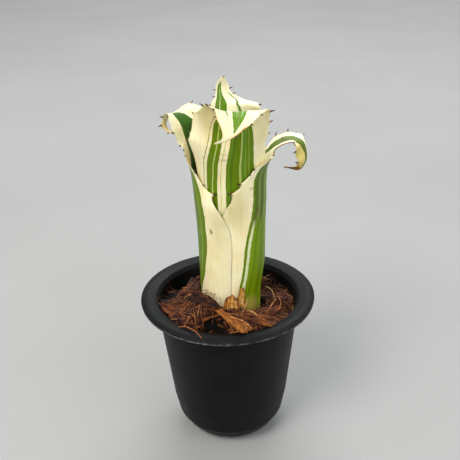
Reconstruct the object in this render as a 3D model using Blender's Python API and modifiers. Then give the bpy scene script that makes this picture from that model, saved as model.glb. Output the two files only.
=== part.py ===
"""A young bromeliad rooted in coir in a small round nursery pot.

Metres, +Z up. The origin is the middle of the pot's base on the surface that it stands on,
and the front is -Y. The four leaves wrap one another into a tube that holds water, and each
is one curved sheet: a midrib carried up the tube and out, with an arc across it.
"""

import bmesh
import bpy
import numpy as np
from mathutils import Euler

MM = 0.001

# Pot
POT_HEIGHT = 68 * MM
POT_RIM_RADIUS = 38 * MM
POT_NECK_RADIUS = 31.2 * MM  # outside of the body, straight under the lip
POT_SHOULDER_RADIUS = 26.1 * MM  # outside of the body, where it starts to round in
POT_BASE_RADIUS = 16 * MM
POT_WALL = 1.1 * MM
POT_SHOULDER_HEIGHT = 18 * MM
POT_FOOT_HEIGHT = 1.5 * MM  # how far the middle of the base is raised
POT_LIP_THICKNESS = 1.6 * MM
POT_LIP_DROP = 1.0 * MM  # the lip's edge lies this far below its crown
POT_HALF_WAY_ROUNDING = 1.7 * MM  # narrower than the shoulder, half way down to the base
POT_LOW_ROUNDING = 5.0 * MM  # narrower than the shoulder, a fifth of the way up to it
DRAIN_HOLE_RADIUS = 2.5 * MM
DRAIN_HOLE_COUNT = 4
DRAIN_RING_RADIUS = 9 * MM

# Coir
GAP = 0.3 * MM  # between any two pieces that rest on each other
COIR_BELOW_RIM = 8.5 * MM  # at the back and the right
COIR_HEAP = 7.0 * MM  # how far the front and the left are heaped above that
COIR_RISE = 0.3 * MM  # half the height of the small rises
COIR_RISE_SPACING = (2.9 * MM, 2.3 * MM)  # along X and Y, for one radian of each wave
HUSK_THICKNESS = 1.6 * MM
FIBRE_RADIUS = 0.35 * MM
# Azimuth (degrees), share of the way to the wall, length and width (mm), turn (degrees)
HUSK_CHIPS = [
    (-160, 0.58, 11.0, 9.5, -53),
    (-133, 0.15, 11.0, 4.2, 90),
    (-85, 0.47, 11.5, 5.5, -138),
    (-59, 0.64, 7.5, 4.6, 24),
    (-30, 0.26, 7.0, 4.5, 80),
    (14, 0.55, 7.0, 4.0, 70),
    (69, 0.55, 7.0, 3.5, 100),
    (112, 0.60, 8.0, 4.5, 80),
    (147, 0.50, 8.5, 4.5, 100),
]
# Name: azimuth (degrees) and share of the way to the wall, of points along the strand
FIBRES = {
    "coir_fibre_1": [(-113, 0.70), (-108, 0.46), (-106, 0.24), (-98, 0.06)],
    "coir_fibre_2": [(-36, 0.66), (-24, 0.74), (-12, 0.68), (-2, 0.50)],
    "coir_fibre_3": [(-146, 0.86), (-138, 0.66), (-128, 0.62), (-119, 0.70)],
}

# Plant
TUBE_AXIS = (3.0 * MM, -1.0 * MM)
TUBE_RADIUS = 14.0 * MM  # middle of the outermost leaf, at the height of the pot's rim
TUBE_FLARE = 0.018  # growth of that radius for each unit of height
PLANT_HEIGHT = 92 * MM  # from the pot's rim to the highest leaf tip
PLANT_DEPTH = 16 * MM  # from the pot's rim down to the foot of the leaves
LEAF_THICKNESS = 0.8 * MM
LEAF_GAP = 0.4 * MM
STEM_DEPTH = 44 * MM  # from the pot's rim down to the stem's lower end
STEM_TOP_BELOW_RIM = 3 * MM
STEM_DOME = 4 * MM  # height of its rounded top
STEM_TAPER = 6 * MM  # height of each of the two steps in which it narrows below the leaves
STEM_TIP = 1 * MM

WRAP = 0  # a section that is centred on the tube's axis

# Each row of a leaf: height as a share of PLANT_HEIGHT, how far the midrib stands out of the
# tube (mm), its shift to the leaf's b side (mm), the half-widths a and b (mm), the radii of
# the section on the a and b sides (mm, negative where the margin turns back), and the turn
# about the midrib (degrees). The b side is clockwise from the midrib, seen from above.
# The first row is the foot of the leaf, at PLANT_DEPTH, so its height is None.
LEFT_LEAF = [
    (None, 0, 0, 27, 24, WRAP, WRAP, 0),
    (0.17, 0, 0, 27, 24, WRAP, WRAP, 0),
    (0.39, 0, 0, 27, 24, WRAP, WRAP, 0),
    (0.5, 0.4, 0, 22.5, 23, WRAP, WRAP, 0),
    (0.588, 1.3, -0.2, 14.8, 22, 13.9, 16.3, 3),
    (0.665, 1.8, 0.5, 11.2, 21, 20.7, 16, -2),
    (0.741, 3.7, 0.5, 10, 19.9, 26.6, 15.3, 2),
    (0.811, 4.6, -0.4, 9.2, 16, 90, 16.3, -4),
    (0.85, 8, 0.1, 7.6, 9.6, 68, 25, 7),
    (0.846, 10.4, -0.2, 4, 4.8, 24, 25, 10),
    (0.826, 12.2, -0.4, 1.9, 2.6, 12, 12, 6),
    (0.798, 12.6, -0.9, 1.4, 1.5, 4, 4, 6),
    (0.774, 11.2, -0.9, 1.1, 1.1, 3, 3, 0),
    (0.767, 8.6, -1, 0.4, 0.4, 3, 3, 0),
]
RIGHT_LEAF = [
    (None, 0, 0, 24, 28, WRAP, WRAP, 0),
    (0.17, 0, 0, 24, 29, WRAP, WRAP, 0),
    (0.39, 0, 0, 22, 29, WRAP, WRAP, 0),
    (0.5, 0.35, 0, 17, 26, WRAP, WRAP, 0),
    (0.577, 0.2, -0.1, 13.2, 21.9, 13.8, 14.1, 2),
    (0.643, 1.2, 0.1, 7.8, 16.8, 19, 18.2, -4),
    (0.715, 3.8, 0.2, 5.2, 8.3, 23.2, 42.6, -2),
    (0.737, 6.7, 1.4, 5.5, 7.1, 18.9, 14.6, 0),
    (0.742, 11.5, 1.2, 3.6, 4.1, 20.1, 22.4, 14),
    (0.733, 13.9, 2.3, 4.7, 5.4, -8.1, 34.3, 34),
    (0.691, 15.5, 3.2, 3.2, 5.1, -3.5, -11.8, 50),
    (0.645, 15.4, 3.8, 2.1, 4.4, -3.5, -12.1, 43),
    (0.621, 13.9, 3.4, 2.4, 3.3, -6.2, -11.6, 50),
    (0.623, 7.1, 2.4, 0.4, 0.4, 12, 12, 0),
]
FRONT_LEAF = [
    (None, 0, 0, 21, 21, WRAP, WRAP, 0),
    (0.17, 0, 0, 22, 22, WRAP, WRAP, 0),
    (0.39, 0, 0, 23, 23, WRAP, WRAP, 0),
    (0.52, 0.2, 0, 23, 23, WRAP, WRAP, 0),
    (0.63, 1, 0.2, 21.5, 22, WRAP, WRAP, 0),
    (0.778, 3.8, 0, 17.3, 20.4, 14.3, 18, 0),
    (0.894, 3.7, -0.5, 13, 17, 30.5, 16, 0),
    (0.929, 4.2, -0.7, 10.7, 11.2, 200, 20.1, 0),
    (0.917, 6.7, -0.4, 7.7, 8.3, 27.4, 13.2, 0),
    (0.88, 10, 1.3, 3, 6.2, 12.7, 14.3, 0),
    (0.844, 11.1, 4.5, 1.1, 0.8, 12.1, 12, 0),
    (0.824, 10.2, 8.1, 0.4, 0.4, 12, 12, 0),
]
BACK_LEAF = [
    (None, 0, 0, 19, 19, WRAP, WRAP, 0),
    (0.17, 0, 0, 20, 20, WRAP, WRAP, 0),
    (0.39, 0, 0, 20, 20, WRAP, WRAP, 0),
    (0.63, 0.75, -0.4, 18, 19, WRAP, WRAP, 0),
    (0.76, 1.6, -0.3, 15.5, 18.5, 14, 15, 0),
    (0.837, 1.1, 0.3, 9.2, 18, 12.1, 16.9, 0),
    (0.892, 1.2, 0.3, 3.5, 17.3, 9.9, 12.5, 0),
    (0.908, 1.8, 0.6, 2.9, 8.6, 10, 24.7, 0),
    (0.967, 1.3, 0.5, 1.7, 3, 10, 16, 0),
    (1, -0.2, 1.5, 0.4, 0.4, 14, 16, 0),
]
# Name: (rows, azimuth of the midrib in degrees, layer counted from the outside)
LEAVES = {
    "left_leaf": (LEFT_LEAF, 158, 0),
    "right_leaf": (RIGHT_LEAF, 8, 1),
    "front_leaf": (FRONT_LEAF, -86, 2),
    "back_leaf": (BACK_LEAF, 106, 3),
}
LEAF_STEPS_ALONG = 38
LEAF_STEPS_ACROSS = 12

# Name: azimuth (degrees), foot above the rim, height, half-width, layer of the leaf behind it
SCALES = {
    "old_leaf_base": (-97, 0.9 * MM, 6.8 * MM, 3.3 * MM, 0),
    "dry_scale": (-80, 0.9 * MM, 9.8 * MM, 1.8 * MM, 1),
}

COLOURS = {
    "pot": ((0.018, 0.020, 0.019), 0.42),
    "coir": ((0.13, 0.045, 0.020), 0.95),
    "husk": ((0.20, 0.075, 0.030), 0.9),
    "fibre": ((0.45, 0.22, 0.07), 0.85),
    "leaf": ((0.55, 0.60, 0.33), 0.45),
    "stem": ((0.50, 0.38, 0.16), 0.7),
    "dry": ((0.55, 0.27, 0.06), 0.8),
}


def material(name):
    made = bpy.data.materials.get(name)
    if made is None:
        colour, roughness = COLOURS[name]
        made = bpy.data.materials.new(name)
        made.use_nodes = True
        shader = made.node_tree.nodes["Principled BSDF"]
        shader.inputs["Base Color"].default_value = (*colour, 1)
        shader.inputs["Roughness"].default_value = roughness
        shader.inputs["Metallic"].default_value = 0
    return made


def collection(name):
    made = bpy.data.collections.new(name)
    bpy.context.scene.collection.children.link(made)
    return made


def add_object(name, data, into, finish):
    made = bpy.data.objects.new(name, data)
    into.objects.link(made)
    if finish:
        made.data.materials.append(material(finish))
    return made


def through(knots, values, at):
    """A smooth curve through the rows: cubic between knots, slopes from the neighbours."""
    slopes = np.gradient(values, knots, axis=0)
    left = np.clip(np.searchsorted(knots, at, side="right") - 1, 0, len(knots) - 2)
    span = (knots[left + 1] - knots[left])[:, None]
    x = (at[:, None] - knots[left][:, None]) / span
    start = (2 * x**3 - 3 * x**2 + 1) * values[left]
    start += (x**3 - 2 * x**2 + x) * span * slopes[left]
    end = (3 * x**2 - 2 * x**3) * values[left + 1]
    return start + end + (x**3 - x**2) * span * slopes[left + 1]


def grid_mesh(name, points, closed_across=False):
    """A mesh of quads from an array of points, rows by columns."""
    rows, columns = points.shape[:2]
    index = np.arange(rows * columns).reshape(rows, columns)
    if closed_across:
        index = np.concatenate([index, index[:, :1]], axis=1)
    quads = np.stack([index[:-1, :-1], index[:-1, 1:], index[1:, 1:], index[1:, :-1]], axis=-1)
    mesh = bpy.data.meshes.new(name)
    mesh.from_pydata(points.reshape(-1, 3).tolist(), [], quads.reshape(-1, 4).tolist())
    return mesh


# Pot


def pot_profile():
    """Half of the pot's section, from the inside of the floor over the lip to the foot."""
    inner_floor = POT_FOOT_HEIGHT + POT_WALL
    lip_under = POT_HEIGHT - POT_LIP_DROP - POT_LIP_THICKNESS
    crown = 0.5 * (POT_RIM_RADIUS + POT_NECK_RADIUS)
    inside = [
        (0, inner_floor),
        (POT_BASE_RADIUS - POT_WALL, inner_floor),
        (POT_SHOULDER_RADIUS - 2.2 * POT_WALL, 0.5 * POT_SHOULDER_HEIGHT),
        (POT_SHOULDER_RADIUS - POT_WALL, POT_SHOULDER_HEIGHT),
        (POT_NECK_RADIUS - POT_WALL, lip_under),
        (POT_NECK_RADIUS + 0.2 * POT_WALL, POT_HEIGHT - POT_LIP_DROP),
    ]
    lip = [
        (crown, POT_HEIGHT),
        (POT_RIM_RADIUS - POT_LIP_THICKNESS, POT_HEIGHT - 0.3 * POT_LIP_DROP),
        (POT_RIM_RADIUS, POT_HEIGHT - POT_LIP_DROP),
        (POT_RIM_RADIUS - 0.2 * POT_LIP_THICKNESS, lip_under),
    ]
    outside = [
        (POT_NECK_RADIUS + 0.5 * POT_WALL, lip_under),
        (POT_NECK_RADIUS, lip_under - POT_WALL),
        (POT_SHOULDER_RADIUS, POT_SHOULDER_HEIGHT),
        (POT_SHOULDER_RADIUS - POT_HALF_WAY_ROUNDING, 0.5 * POT_SHOULDER_HEIGHT),
        (POT_SHOULDER_RADIUS - POT_LOW_ROUNDING, 0.2 * POT_SHOULDER_HEIGHT),
        (POT_BASE_RADIUS, 0),
    ]
    foot = [
        (POT_BASE_RADIUS - 2 * POT_WALL, 0),
        (POT_BASE_RADIUS - 3 * POT_WALL, POT_FOOT_HEIGHT),
        (0, POT_FOOT_HEIGHT),
    ]
    return inside + lip + outside + foot


def turned(name, profile, into, finish, steps):
    mesh = bpy.data.meshes.new(name)
    points = [(radius, 0, height) for radius, height in profile]
    mesh.from_pydata(points, [(i, i + 1) for i in range(len(points) - 1)], [])
    made = add_object(name, mesh, into, finish)
    screw = made.modifiers.new("Turn", "SCREW")
    screw.steps = screw.render_steps = steps
    screw.use_merge_vertices = True
    screw.merge_threshold = 0.00005
    return made


def make_pot(parts, cutters):
    pot = turned("pot", pot_profile(), parts, "pot", 56)
    for number in range(DRAIN_HOLE_COUNT):
        turn = 2 * np.pi * number / DRAIN_HOLE_COUNT
        shape = bmesh.new()
        bmesh.ops.create_cone(
            shape,
            cap_ends=True,
            segments=16,
            radius1=DRAIN_HOLE_RADIUS,
            radius2=DRAIN_HOLE_RADIUS,
            depth=4 * POT_FOOT_HEIGHT,
        )
        mesh = bpy.data.meshes.new("drain_hole")
        shape.to_mesh(mesh)
        shape.free()
        cutter = add_object("drain_hole", mesh, cutters, None)
        cutter.location = (
            DRAIN_RING_RADIUS * np.cos(turn),
            DRAIN_RING_RADIUS * np.sin(turn),
            POT_FOOT_HEIGHT + 0.5 * POT_WALL,
        )
        cutter.hide_render = True
        cutter.display_type = "WIRE"
        cut = pot.modifiers.new("Drain hole", "BOOLEAN")
        cut.operation = "DIFFERENCE"
        cut.solver = "EXACT"
        cut.object = cutter


# Coir


def pot_inner_radius(height):
    """The radius of the pot's inner wall, straight between its profile's points."""
    inner = pot_profile()[1:6]
    return np.interp(height, [h for _, h in inner], [r for r, _ in inner])


def coir_height(x, y):
    """The coir's surface: level, with a heap in front and to the left, and small rises."""
    facing = (-0.75 * y - 0.66 * x) / POT_NECK_RADIUS
    heap = COIR_HEAP / (1 + np.exp(-9 * (facing - 0.12)))
    bumps = COIR_RISE * (np.sin(x / COIR_RISE_SPACING[0] + 1) + np.sin(y / COIR_RISE_SPACING[1]))
    return POT_HEIGHT - COIR_BELOW_RIM + heap + bumps


def tube_radius(height, layer=0):
    """Middle of the leaf of this layer, counted from the outside, where it wraps the tube."""
    rise = TUBE_FLARE * (height - POT_HEIGHT)
    return TUBE_RADIUS + rise - layer * (LEAF_THICKNESS + LEAF_GAP)


def stem_profile():
    """Half of the stem's section, from its domed top down to its rounded lower end."""
    top = POT_HEIGHT - STEM_TOP_BELOW_RIM
    foot = POT_HEIGHT - PLANT_DEPTH
    low = POT_HEIGHT - STEM_DEPTH
    width = tube_radius(foot, 3) - 0.5 * LEAF_THICKNESS - GAP
    return [
        (0, top),
        (0.6 * width, top - 0.38 * STEM_DOME),
        (0.92 * width, top - STEM_DOME),
        (width, foot),
        (0.95 * width, foot - STEM_TAPER),
        (0.6 * width, low + STEM_TAPER),
        (0.3 * width, low + STEM_TIP),
        (0, low),
    ]


def make_coir(parts):
    """Rings carried out of the stem's pocket, over the top, down the wall and back below.

    The rings' middle moves from the plant's axis to the pot's as they widen.
    """
    foot = POT_HEIGHT - PLANT_DEPTH - GAP
    low = POT_HEIGHT - STEM_DEPTH - GAP
    mouth = tube_radius(POT_HEIGHT) + 0.5 * LEAF_THICKNESS + GAP
    floor = POT_FOOT_HEIGHT + POT_WALL + GAP
    below = POT_HEIGHT - COIR_BELOW_RIM - 3 * MM
    # Rows: radius, height or None for the surface, share of the way to the pot's axis
    rows = [(0, low, 0)]
    rows += [(radius + 1.5 * GAP, height - GAP, 0) for radius, height in stem_profile()[-2:3:-1]]
    rows += [(stem_profile()[3][0] + 1.5 * GAP, foot, 0), (mouth, foot, 0), (mouth, None, 0)]
    rim = pot_inner_radius(POT_HEIGHT - COIR_BELOW_RIM) - GAP
    for share in (0.25, 0.5, 0.75, 1.0):
        rows.append((mouth + share * (rim - mouth), None, share))
    for height in (below, POT_SHOULDER_HEIGHT, 0.5 * POT_SHOULDER_HEIGHT):
        rows.append((pot_inner_radius(height) - GAP, height, 1))
    rows += [(POT_BASE_RADIUS - POT_WALL - 2 * GAP, floor, 1), (0, floor, 1)]

    turn = np.linspace(0, 2 * np.pi, 48, endpoint=False)
    points = np.zeros((len(rows), len(turn), 3))
    for row, (radius, height, share) in enumerate(rows):
        x = TUBE_AXIS[0] * (1 - share) + radius * np.cos(turn)
        y = TUBE_AXIS[1] * (1 - share) + radius * np.sin(turn)
        z = coir_height(x, y) if height is None else 0 * x + height
        points[row] = np.stack([x, y, z], axis=-1)
    mesh = grid_mesh("coir_bed", points, closed_across=True)
    shape = bmesh.new()
    shape.from_mesh(mesh)
    bmesh.ops.remove_doubles(shape, verts=shape.verts[:], dist=0.00002)
    bmesh.ops.recalc_face_normals(shape, faces=shape.faces[:])
    shape.to_mesh(mesh)
    shape.free()
    add_object("coir_bed", mesh, parts, "coir")


def lay_on_coir(x, y, length, width, turn):
    """The lowest height at which a level rectangle, turned about Z, clears the coir."""
    along = length * np.linspace(-0.5, 0.5, 9)[:, None]
    across = width * np.linspace(-0.5, 0.5, 7)[None, :]
    under_x = x + along * np.cos(turn) - across * np.sin(turn)
    under_y = y + along * np.sin(turn) + across * np.cos(turn)
    return coir_height(under_x, under_y).max() + GAP


def place_on_coir(azimuth, share):
    """The point this share of the way from the tube to the pot's wall, in plan."""
    turn = np.radians(azimuth)
    inner = tube_radius(POT_HEIGHT) + 2 * (LEAF_THICKNESS + LEAF_GAP)
    outer = pot_inner_radius(POT_HEIGHT - COIR_BELOW_RIM)
    away = inner + (outer - inner) * share
    x = TUBE_AXIS[0] * (1 - share) + away * np.cos(turn)
    y = TUBE_AXIS[1] * (1 - share) + away * np.sin(turn)
    return x, y


def make_husk_chips(parts):
    """Flakes of husk lying on the coir, each clear of it by the gap."""
    for number, (azimuth, share, length, width, turn) in enumerate(HUSK_CHIPS):
        x, y = place_on_coir(azimuth, share)
        name = f"husk_chip_{number + 1}"
        heading = np.radians(azimuth + turn)
        lowest = lay_on_coir(x, y, length * MM, width * MM, heading)
        mesh = wedge_mesh(length * MM, width * MM, HUSK_THICKNESS)
        chip = add_object(name, mesh, parts, "husk")
        chip.location = (x, y, lowest + 0.5 * HUSK_THICKNESS)
        chip.rotation_euler = Euler((0, 0, heading))


def wedge_mesh(length, width, thickness):
    """A flake that narrows and thins towards +X, with bevelled edges."""
    shape = bmesh.new()
    bmesh.ops.create_cube(shape, size=1)
    for vertex in shape.verts:
        share = 0.45 if vertex.co.x > 0 else 1.0
        vertex.co.x *= length
        vertex.co.y *= width * share
        vertex.co.z *= thickness * share
    bmesh.ops.bevel(
        shape,
        geom=shape.edges[:],
        offset=0.15 * thickness,
        segments=1,
        affect="EDGES",
    )
    mesh = bpy.data.meshes.new("husk_chip")
    shape.to_mesh(mesh)
    shape.free()
    return mesh


def make_fibres(parts):
    """Loose strands on the coir, each a smooth tube through its points."""
    for name, points in FIBRES.items():
        knots = np.arange(len(points), dtype=float)
        at = np.linspace(0, knots[-1], 4 * len(points))
        route = []
        for azimuth, share in through(knots, np.array(points), at):
            x, y = place_on_coir(azimuth, share)
            lowest = lay_on_coir(x, y, 4 * FIBRE_RADIUS, 4 * FIBRE_RADIUS, 0)
            route.append((x, y, lowest + FIBRE_RADIUS, 1))
        curve = bpy.data.curves.new(name, "CURVE")
        curve.dimensions = "3D"
        curve.bevel_depth = FIBRE_RADIUS
        curve.bevel_resolution = 1
        curve.use_fill_caps = True
        spline = curve.splines.new("POLY")
        spline.points.add(len(route) - 1)
        spline.points.foreach_set("co", np.array(route).ravel())
        add_object(name, curve, parts, "fibre")


# Plant


def leaf_table(rows, layer):
    """The rows in metres and radians: radius, height, shift, widths, curvatures, turn."""
    table = []
    for share, out, side, wide_a, wide_b, bend_a, bend_b, turn in rows:
        height = POT_HEIGHT + (-PLANT_DEPTH if share is None else share * PLANT_HEIGHT)
        radius = tube_radius(height, layer) + out * MM
        curve_a = 1 / (bend_a * MM) if bend_a else 1 / radius
        curve_b = 1 / (bend_b * MM) if bend_b else 1 / radius
        sides = (side * MM, wide_a * MM, wide_b * MM)
        table.append((radius, height, *sides, curve_a, curve_b, np.radians(turn)))
    return np.array(table)


def leaf_points(table, azimuth, along, across):
    """Points of a leaf's middle sheet, along by across.

    The midrib M runs in the upright plane at the azimuth. T is its direction, B the level
    direction across it and N = B x T faces the tube's axis. The section at M is an arc:
    M + B sin(k x) / k + N (1 - cos(k x)) / k, with x across the leaf and k its curvature.
    """
    outward = np.array([np.cos(azimuth), np.sin(azimuth), 0])
    level = np.array([np.sin(azimuth), -np.cos(azimuth), 0])
    steps = np.linalg.norm(np.diff(table[:, :3], axis=0), axis=1)
    knots = np.concatenate([[0], np.cumsum(steps)])
    length = knots[-1]

    def midrib(at):
        place = through(knots, table[:, :3], at)
        centre = np.array([*TUBE_AXIS, 0])
        upright = place[:, 1:2] * np.array([0, 0, 1])
        return centre + place[:, :1] * outward + upright + place[:, 2:3] * level

    at = along * length
    step = 0.05 * MM
    direction = midrib(np.minimum(at + step, length)) - midrib(np.maximum(at - step, 0))
    direction /= np.linalg.norm(direction, axis=1)[:, None]
    normal = np.cross(level, direction)
    normal /= np.linalg.norm(normal, axis=1)[:, None]
    side = np.cross(direction, normal)
    wide_a, wide_b, curve_a, curve_b, turn = through(knots, table, at)[:, 3:].T[:, :, None]
    normal, side = (
        normal * np.cos(turn) + side * np.sin(turn),
        side * np.cos(turn) - normal * np.sin(turn),
    )
    x = np.where(across < 0, wide_a, wide_b) * across
    curve = np.where(across < 0, curve_a, curve_b)
    sideways = (np.sin(curve * x) / curve)[..., None] * side[:, None]
    inwards = ((1 - np.cos(curve * x)) / curve)[..., None] * normal[:, None]
    return midrib(at)[:, None] + sideways + inwards


def thicken(made, thickness):
    solid = made.modifiers.new("Thickness", "SOLIDIFY")
    solid.thickness = thickness
    solid.offset = 0
    solid.use_rim = True


def make_leaves(parts):
    along = np.linspace(0, 1, LEAF_STEPS_ALONG + 1)
    across = np.linspace(-1, 1, LEAF_STEPS_ACROSS + 1)
    for name, (rows, azimuth, layer) in LEAVES.items():
        points = leaf_points(leaf_table(rows, layer), np.radians(azimuth), along, across)
        mesh = grid_mesh(name, points)
        mesh.shade_smooth()
        thicken(add_object(name, mesh, parts, "leaf"), LEAF_THICKNESS)


def make_scales(parts):
    """Remains of old leaves: small pointed sheets held against the foot of the tube."""
    for name, (azimuth, foot, height, width, layer) in SCALES.items():
        up = np.linspace(0, 1, 7)
        across = np.linspace(-1, 1, 7)
        z = POT_HEIGHT + foot + up * height
        radius = tube_radius(z, layer) + LEAF_THICKNESS + GAP
        half = width * np.sqrt(1 - 0.98 * up**2)
        angle = np.radians(azimuth) + half[:, None] * across / radius[:, None]
        x = TUBE_AXIS[0] + radius[:, None] * np.cos(angle)
        y = TUBE_AXIS[1] + radius[:, None] * np.sin(angle)
        mesh = grid_mesh(name, np.stack([x, y, z[:, None] + 0 * x], axis=-1))
        thicken(add_object(name, mesh, parts, "dry"), LEAF_THICKNESS)


def main():
    for old in list(bpy.data.objects):
        bpy.data.objects.remove(old)
    parts = collection("potted_bromeliad")
    cutters = collection("cutters")
    make_pot(parts, cutters)
    make_coir(parts)
    make_husk_chips(parts)
    make_fibres(parts)
    stem = turned("stem", stem_profile(), parts, "stem", 32)
    stem.location = (*TUBE_AXIS, 0)
    make_leaves(parts)
    make_scales(parts)


main()
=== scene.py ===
"""The finished look of a young variegated bromeliad in a small round nursery pot.

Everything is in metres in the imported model's frame: +Z up, the front is -Y, the origin is the
middle of the pot's base. Each new piece is a surface worked out on a grid and put where the
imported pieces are.
"""

import bmesh
import bpy
import numpy as np
from mathutils import Matrix, Vector


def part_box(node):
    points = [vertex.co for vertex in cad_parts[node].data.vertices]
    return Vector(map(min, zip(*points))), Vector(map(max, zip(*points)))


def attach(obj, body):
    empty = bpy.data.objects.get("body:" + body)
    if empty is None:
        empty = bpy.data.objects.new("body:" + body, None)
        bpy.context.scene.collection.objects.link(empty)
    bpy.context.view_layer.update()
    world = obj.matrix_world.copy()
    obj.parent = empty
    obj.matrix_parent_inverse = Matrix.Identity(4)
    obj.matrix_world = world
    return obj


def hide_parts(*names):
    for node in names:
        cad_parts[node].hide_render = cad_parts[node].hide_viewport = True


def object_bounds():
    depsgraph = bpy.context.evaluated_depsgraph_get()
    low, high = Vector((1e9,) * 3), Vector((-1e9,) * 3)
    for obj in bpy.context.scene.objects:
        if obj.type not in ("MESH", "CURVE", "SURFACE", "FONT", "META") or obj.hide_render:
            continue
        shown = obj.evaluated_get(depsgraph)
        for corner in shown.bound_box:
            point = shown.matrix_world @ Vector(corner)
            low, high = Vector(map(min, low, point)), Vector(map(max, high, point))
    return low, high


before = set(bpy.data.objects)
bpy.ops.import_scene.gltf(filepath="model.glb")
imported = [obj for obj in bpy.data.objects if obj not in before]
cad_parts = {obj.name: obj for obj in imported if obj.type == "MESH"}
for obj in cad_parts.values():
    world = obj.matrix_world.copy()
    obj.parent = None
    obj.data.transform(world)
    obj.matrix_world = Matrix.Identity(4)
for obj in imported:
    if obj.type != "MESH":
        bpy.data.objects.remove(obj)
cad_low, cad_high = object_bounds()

MM = 0.001

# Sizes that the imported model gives
pot_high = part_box("pot")[1]
RIM_HEIGHT = pot_high.z
RIM_RADIUS = pot_high.x
PLANT_HEIGHT = cad_high.z - RIM_HEIGHT
STEM_LOW, STEM_HIGH = (corner.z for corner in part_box("stem"))
TUBE_AXIS = tuple((low + high) / 2 for low, high in zip(*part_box("stem")))[:2]

# Pot wall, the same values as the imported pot's
NECK_RADIUS = 31.2 * MM
SHOULDER_RADIUS = 26.1 * MM
BASE_RADIUS = 16 * MM
WALL = 1.1 * MM
SHOULDER_HEIGHT = 18 * MM
FOOT_HEIGHT = 1.5 * MM
LIP_THICKNESS = 1.6 * MM
LIP_DROP = 1.0 * MM
DRAIN_HOLE_RADIUS = 2.5 * MM
DRAIN_HOLE_COUNT = 4
DRAIN_RING_RADIUS = 9 * MM

# Coir and tube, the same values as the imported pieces'
COIR_BELOW_RIM = 8.5 * MM
COIR_HEAP = 7.0 * MM
TUBE_RADIUS = 14.0 * MM
TUBE_FLARE = 0.018
PLANT_DEPTH = 16 * MM
FOOT_SLIMMING = 0.065
FOOT_SLIM_HEIGHT = 20 * MM
LAYER_PITCH = 1.2 * MM
LEAF_THICKNESS = 0.8 * MM

# Camera, round the middle of the pot's rim
CAMERA_DISTANCE = 295.67 * MM
CAMERA_ELEVATION = 31.19
CAMERA_AIM_UP = 5.20  # degrees above the rim's middle
CAMERA_AIM_RIGHT = 0.37
CAMERA_ROLL = -1.75
CAMERA_LENS = 52.28  # mm, on a sensor 36 mm wide

WRAP = 0  # a section that is centred on the tube's axis


# Camera


def make_camera():
    """Looks down at the rim from the front, turned a little off its middle."""
    lift = np.radians(CAMERA_ELEVATION)
    up_angle, right_angle, roll = np.radians([CAMERA_AIM_UP, CAMERA_AIM_RIGHT, CAMERA_ROLL])
    back = np.array([0, -np.cos(lift), np.sin(lift)])
    right = np.array([1, 0, 0])
    up = np.cross(right, -back)
    ahead = -back * np.cos(up_angle) + up * np.sin(up_angle)
    up = back * np.sin(up_angle) + up * np.cos(up_angle)
    ahead, right = (
        ahead * np.cos(right_angle) + right * np.sin(right_angle),
        right * np.cos(right_angle) - ahead * np.sin(right_angle),
    )
    right, up = (
        right * np.cos(roll) + up * np.sin(roll),
        up * np.cos(roll) - right * np.sin(roll),
    )
    data = bpy.data.cameras.new("camera")
    data.lens = CAMERA_LENS
    data.sensor_width = 36
    camera = bpy.data.objects.new("camera", data)
    turn = Matrix(np.stack([right, up, -ahead], axis=1).tolist()).to_4x4()
    place = Vector((0, 0, RIM_HEIGHT)) + CAMERA_DISTANCE * Vector(back)
    camera.matrix_world = Matrix.Translation(place) @ turn
    bpy.context.scene.collection.objects.link(camera)
    bpy.context.scene.camera = camera


# Materials


def linear(code):
    """The linear colour of an sRGB hex code."""
    share = np.array([int(code[i : i + 2], 16) for i in (1, 3, 5)]) / 255
    return (*np.where(share < 0.04045, share / 12.92, ((share + 0.055) / 1.055) ** 2.4), 1.0)


def fill(tree, node, inputs):
    """Links each input that is given a socket, and sets the others."""
    for name, value in inputs.items():
        if isinstance(value, bpy.types.NodeSocket):
            tree.links.new(value, node.inputs[name])
        else:
            node.inputs[name].default_value = value


def add(tree, kind, inputs=None, stops=(), **settings):
    """A node with its settings, its input values or links, and a ramp's stops."""
    made = tree.nodes.new("ShaderNode" + kind)
    for name, value in settings.items():
        setattr(made, name, value)
    fill(tree, made, inputs or {})
    for number, (place, colour) in enumerate(stops):
        elements = made.color_ramp.elements
        stop = elements[number] if number < 2 else elements.new(place)
        stop.position = place
        stop.color = linear(colour)
    return made


def new_material(name):
    """A material with its node tree, its shader and its Object coordinates."""
    made = bpy.data.materials.new(name)
    made.use_nodes = True
    tree = made.node_tree
    place = add(tree, "TexCoord").outputs["Object"]
    return made, tree, tree.nodes["Principled BSDF"], place


def attribute(tree, name, output="Fac"):
    """A value, or a Vector, that a piece carries at its points."""
    return add(tree, "Attribute", attribute_name=name).outputs[output]


def drawn_out(tree, place, scale, turn=0.0):
    """The place turned about Z and scaled: a pattern on it is longest where the scale is least."""
    inputs = {"Vector": place, "Rotation": (0, 0, turn), "Scale": scale}
    return add(tree, "Mapping", inputs).outputs["Vector"]


def noise(tree, place, size, detail=3.0, roughness=0.55):
    """Noise whose features are about this size in metres, as a value around 0.5."""
    inputs = {"Vector": place, "Scale": 1 / size, "Detail": detail, "Roughness": roughness}
    return add(tree, "TexNoise", inputs).outputs["Fac"]


def spread(tree, value, low, high, start=0.0, end=1.0):
    """Stretches low..high to start..end, clamped."""
    inputs = {"Value": value, "From Min": low, "From Max": high, "To Min": start, "To Max": end}
    return add(tree, "MapRange", inputs).outputs["Result"]


def combined(tree, operation, first, second, clamp=False):
    """The sum or the product of two values."""
    return add(tree, "Math", {0: first, 1: second}, operation=operation, use_clamp=clamp).outputs[0]


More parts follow.
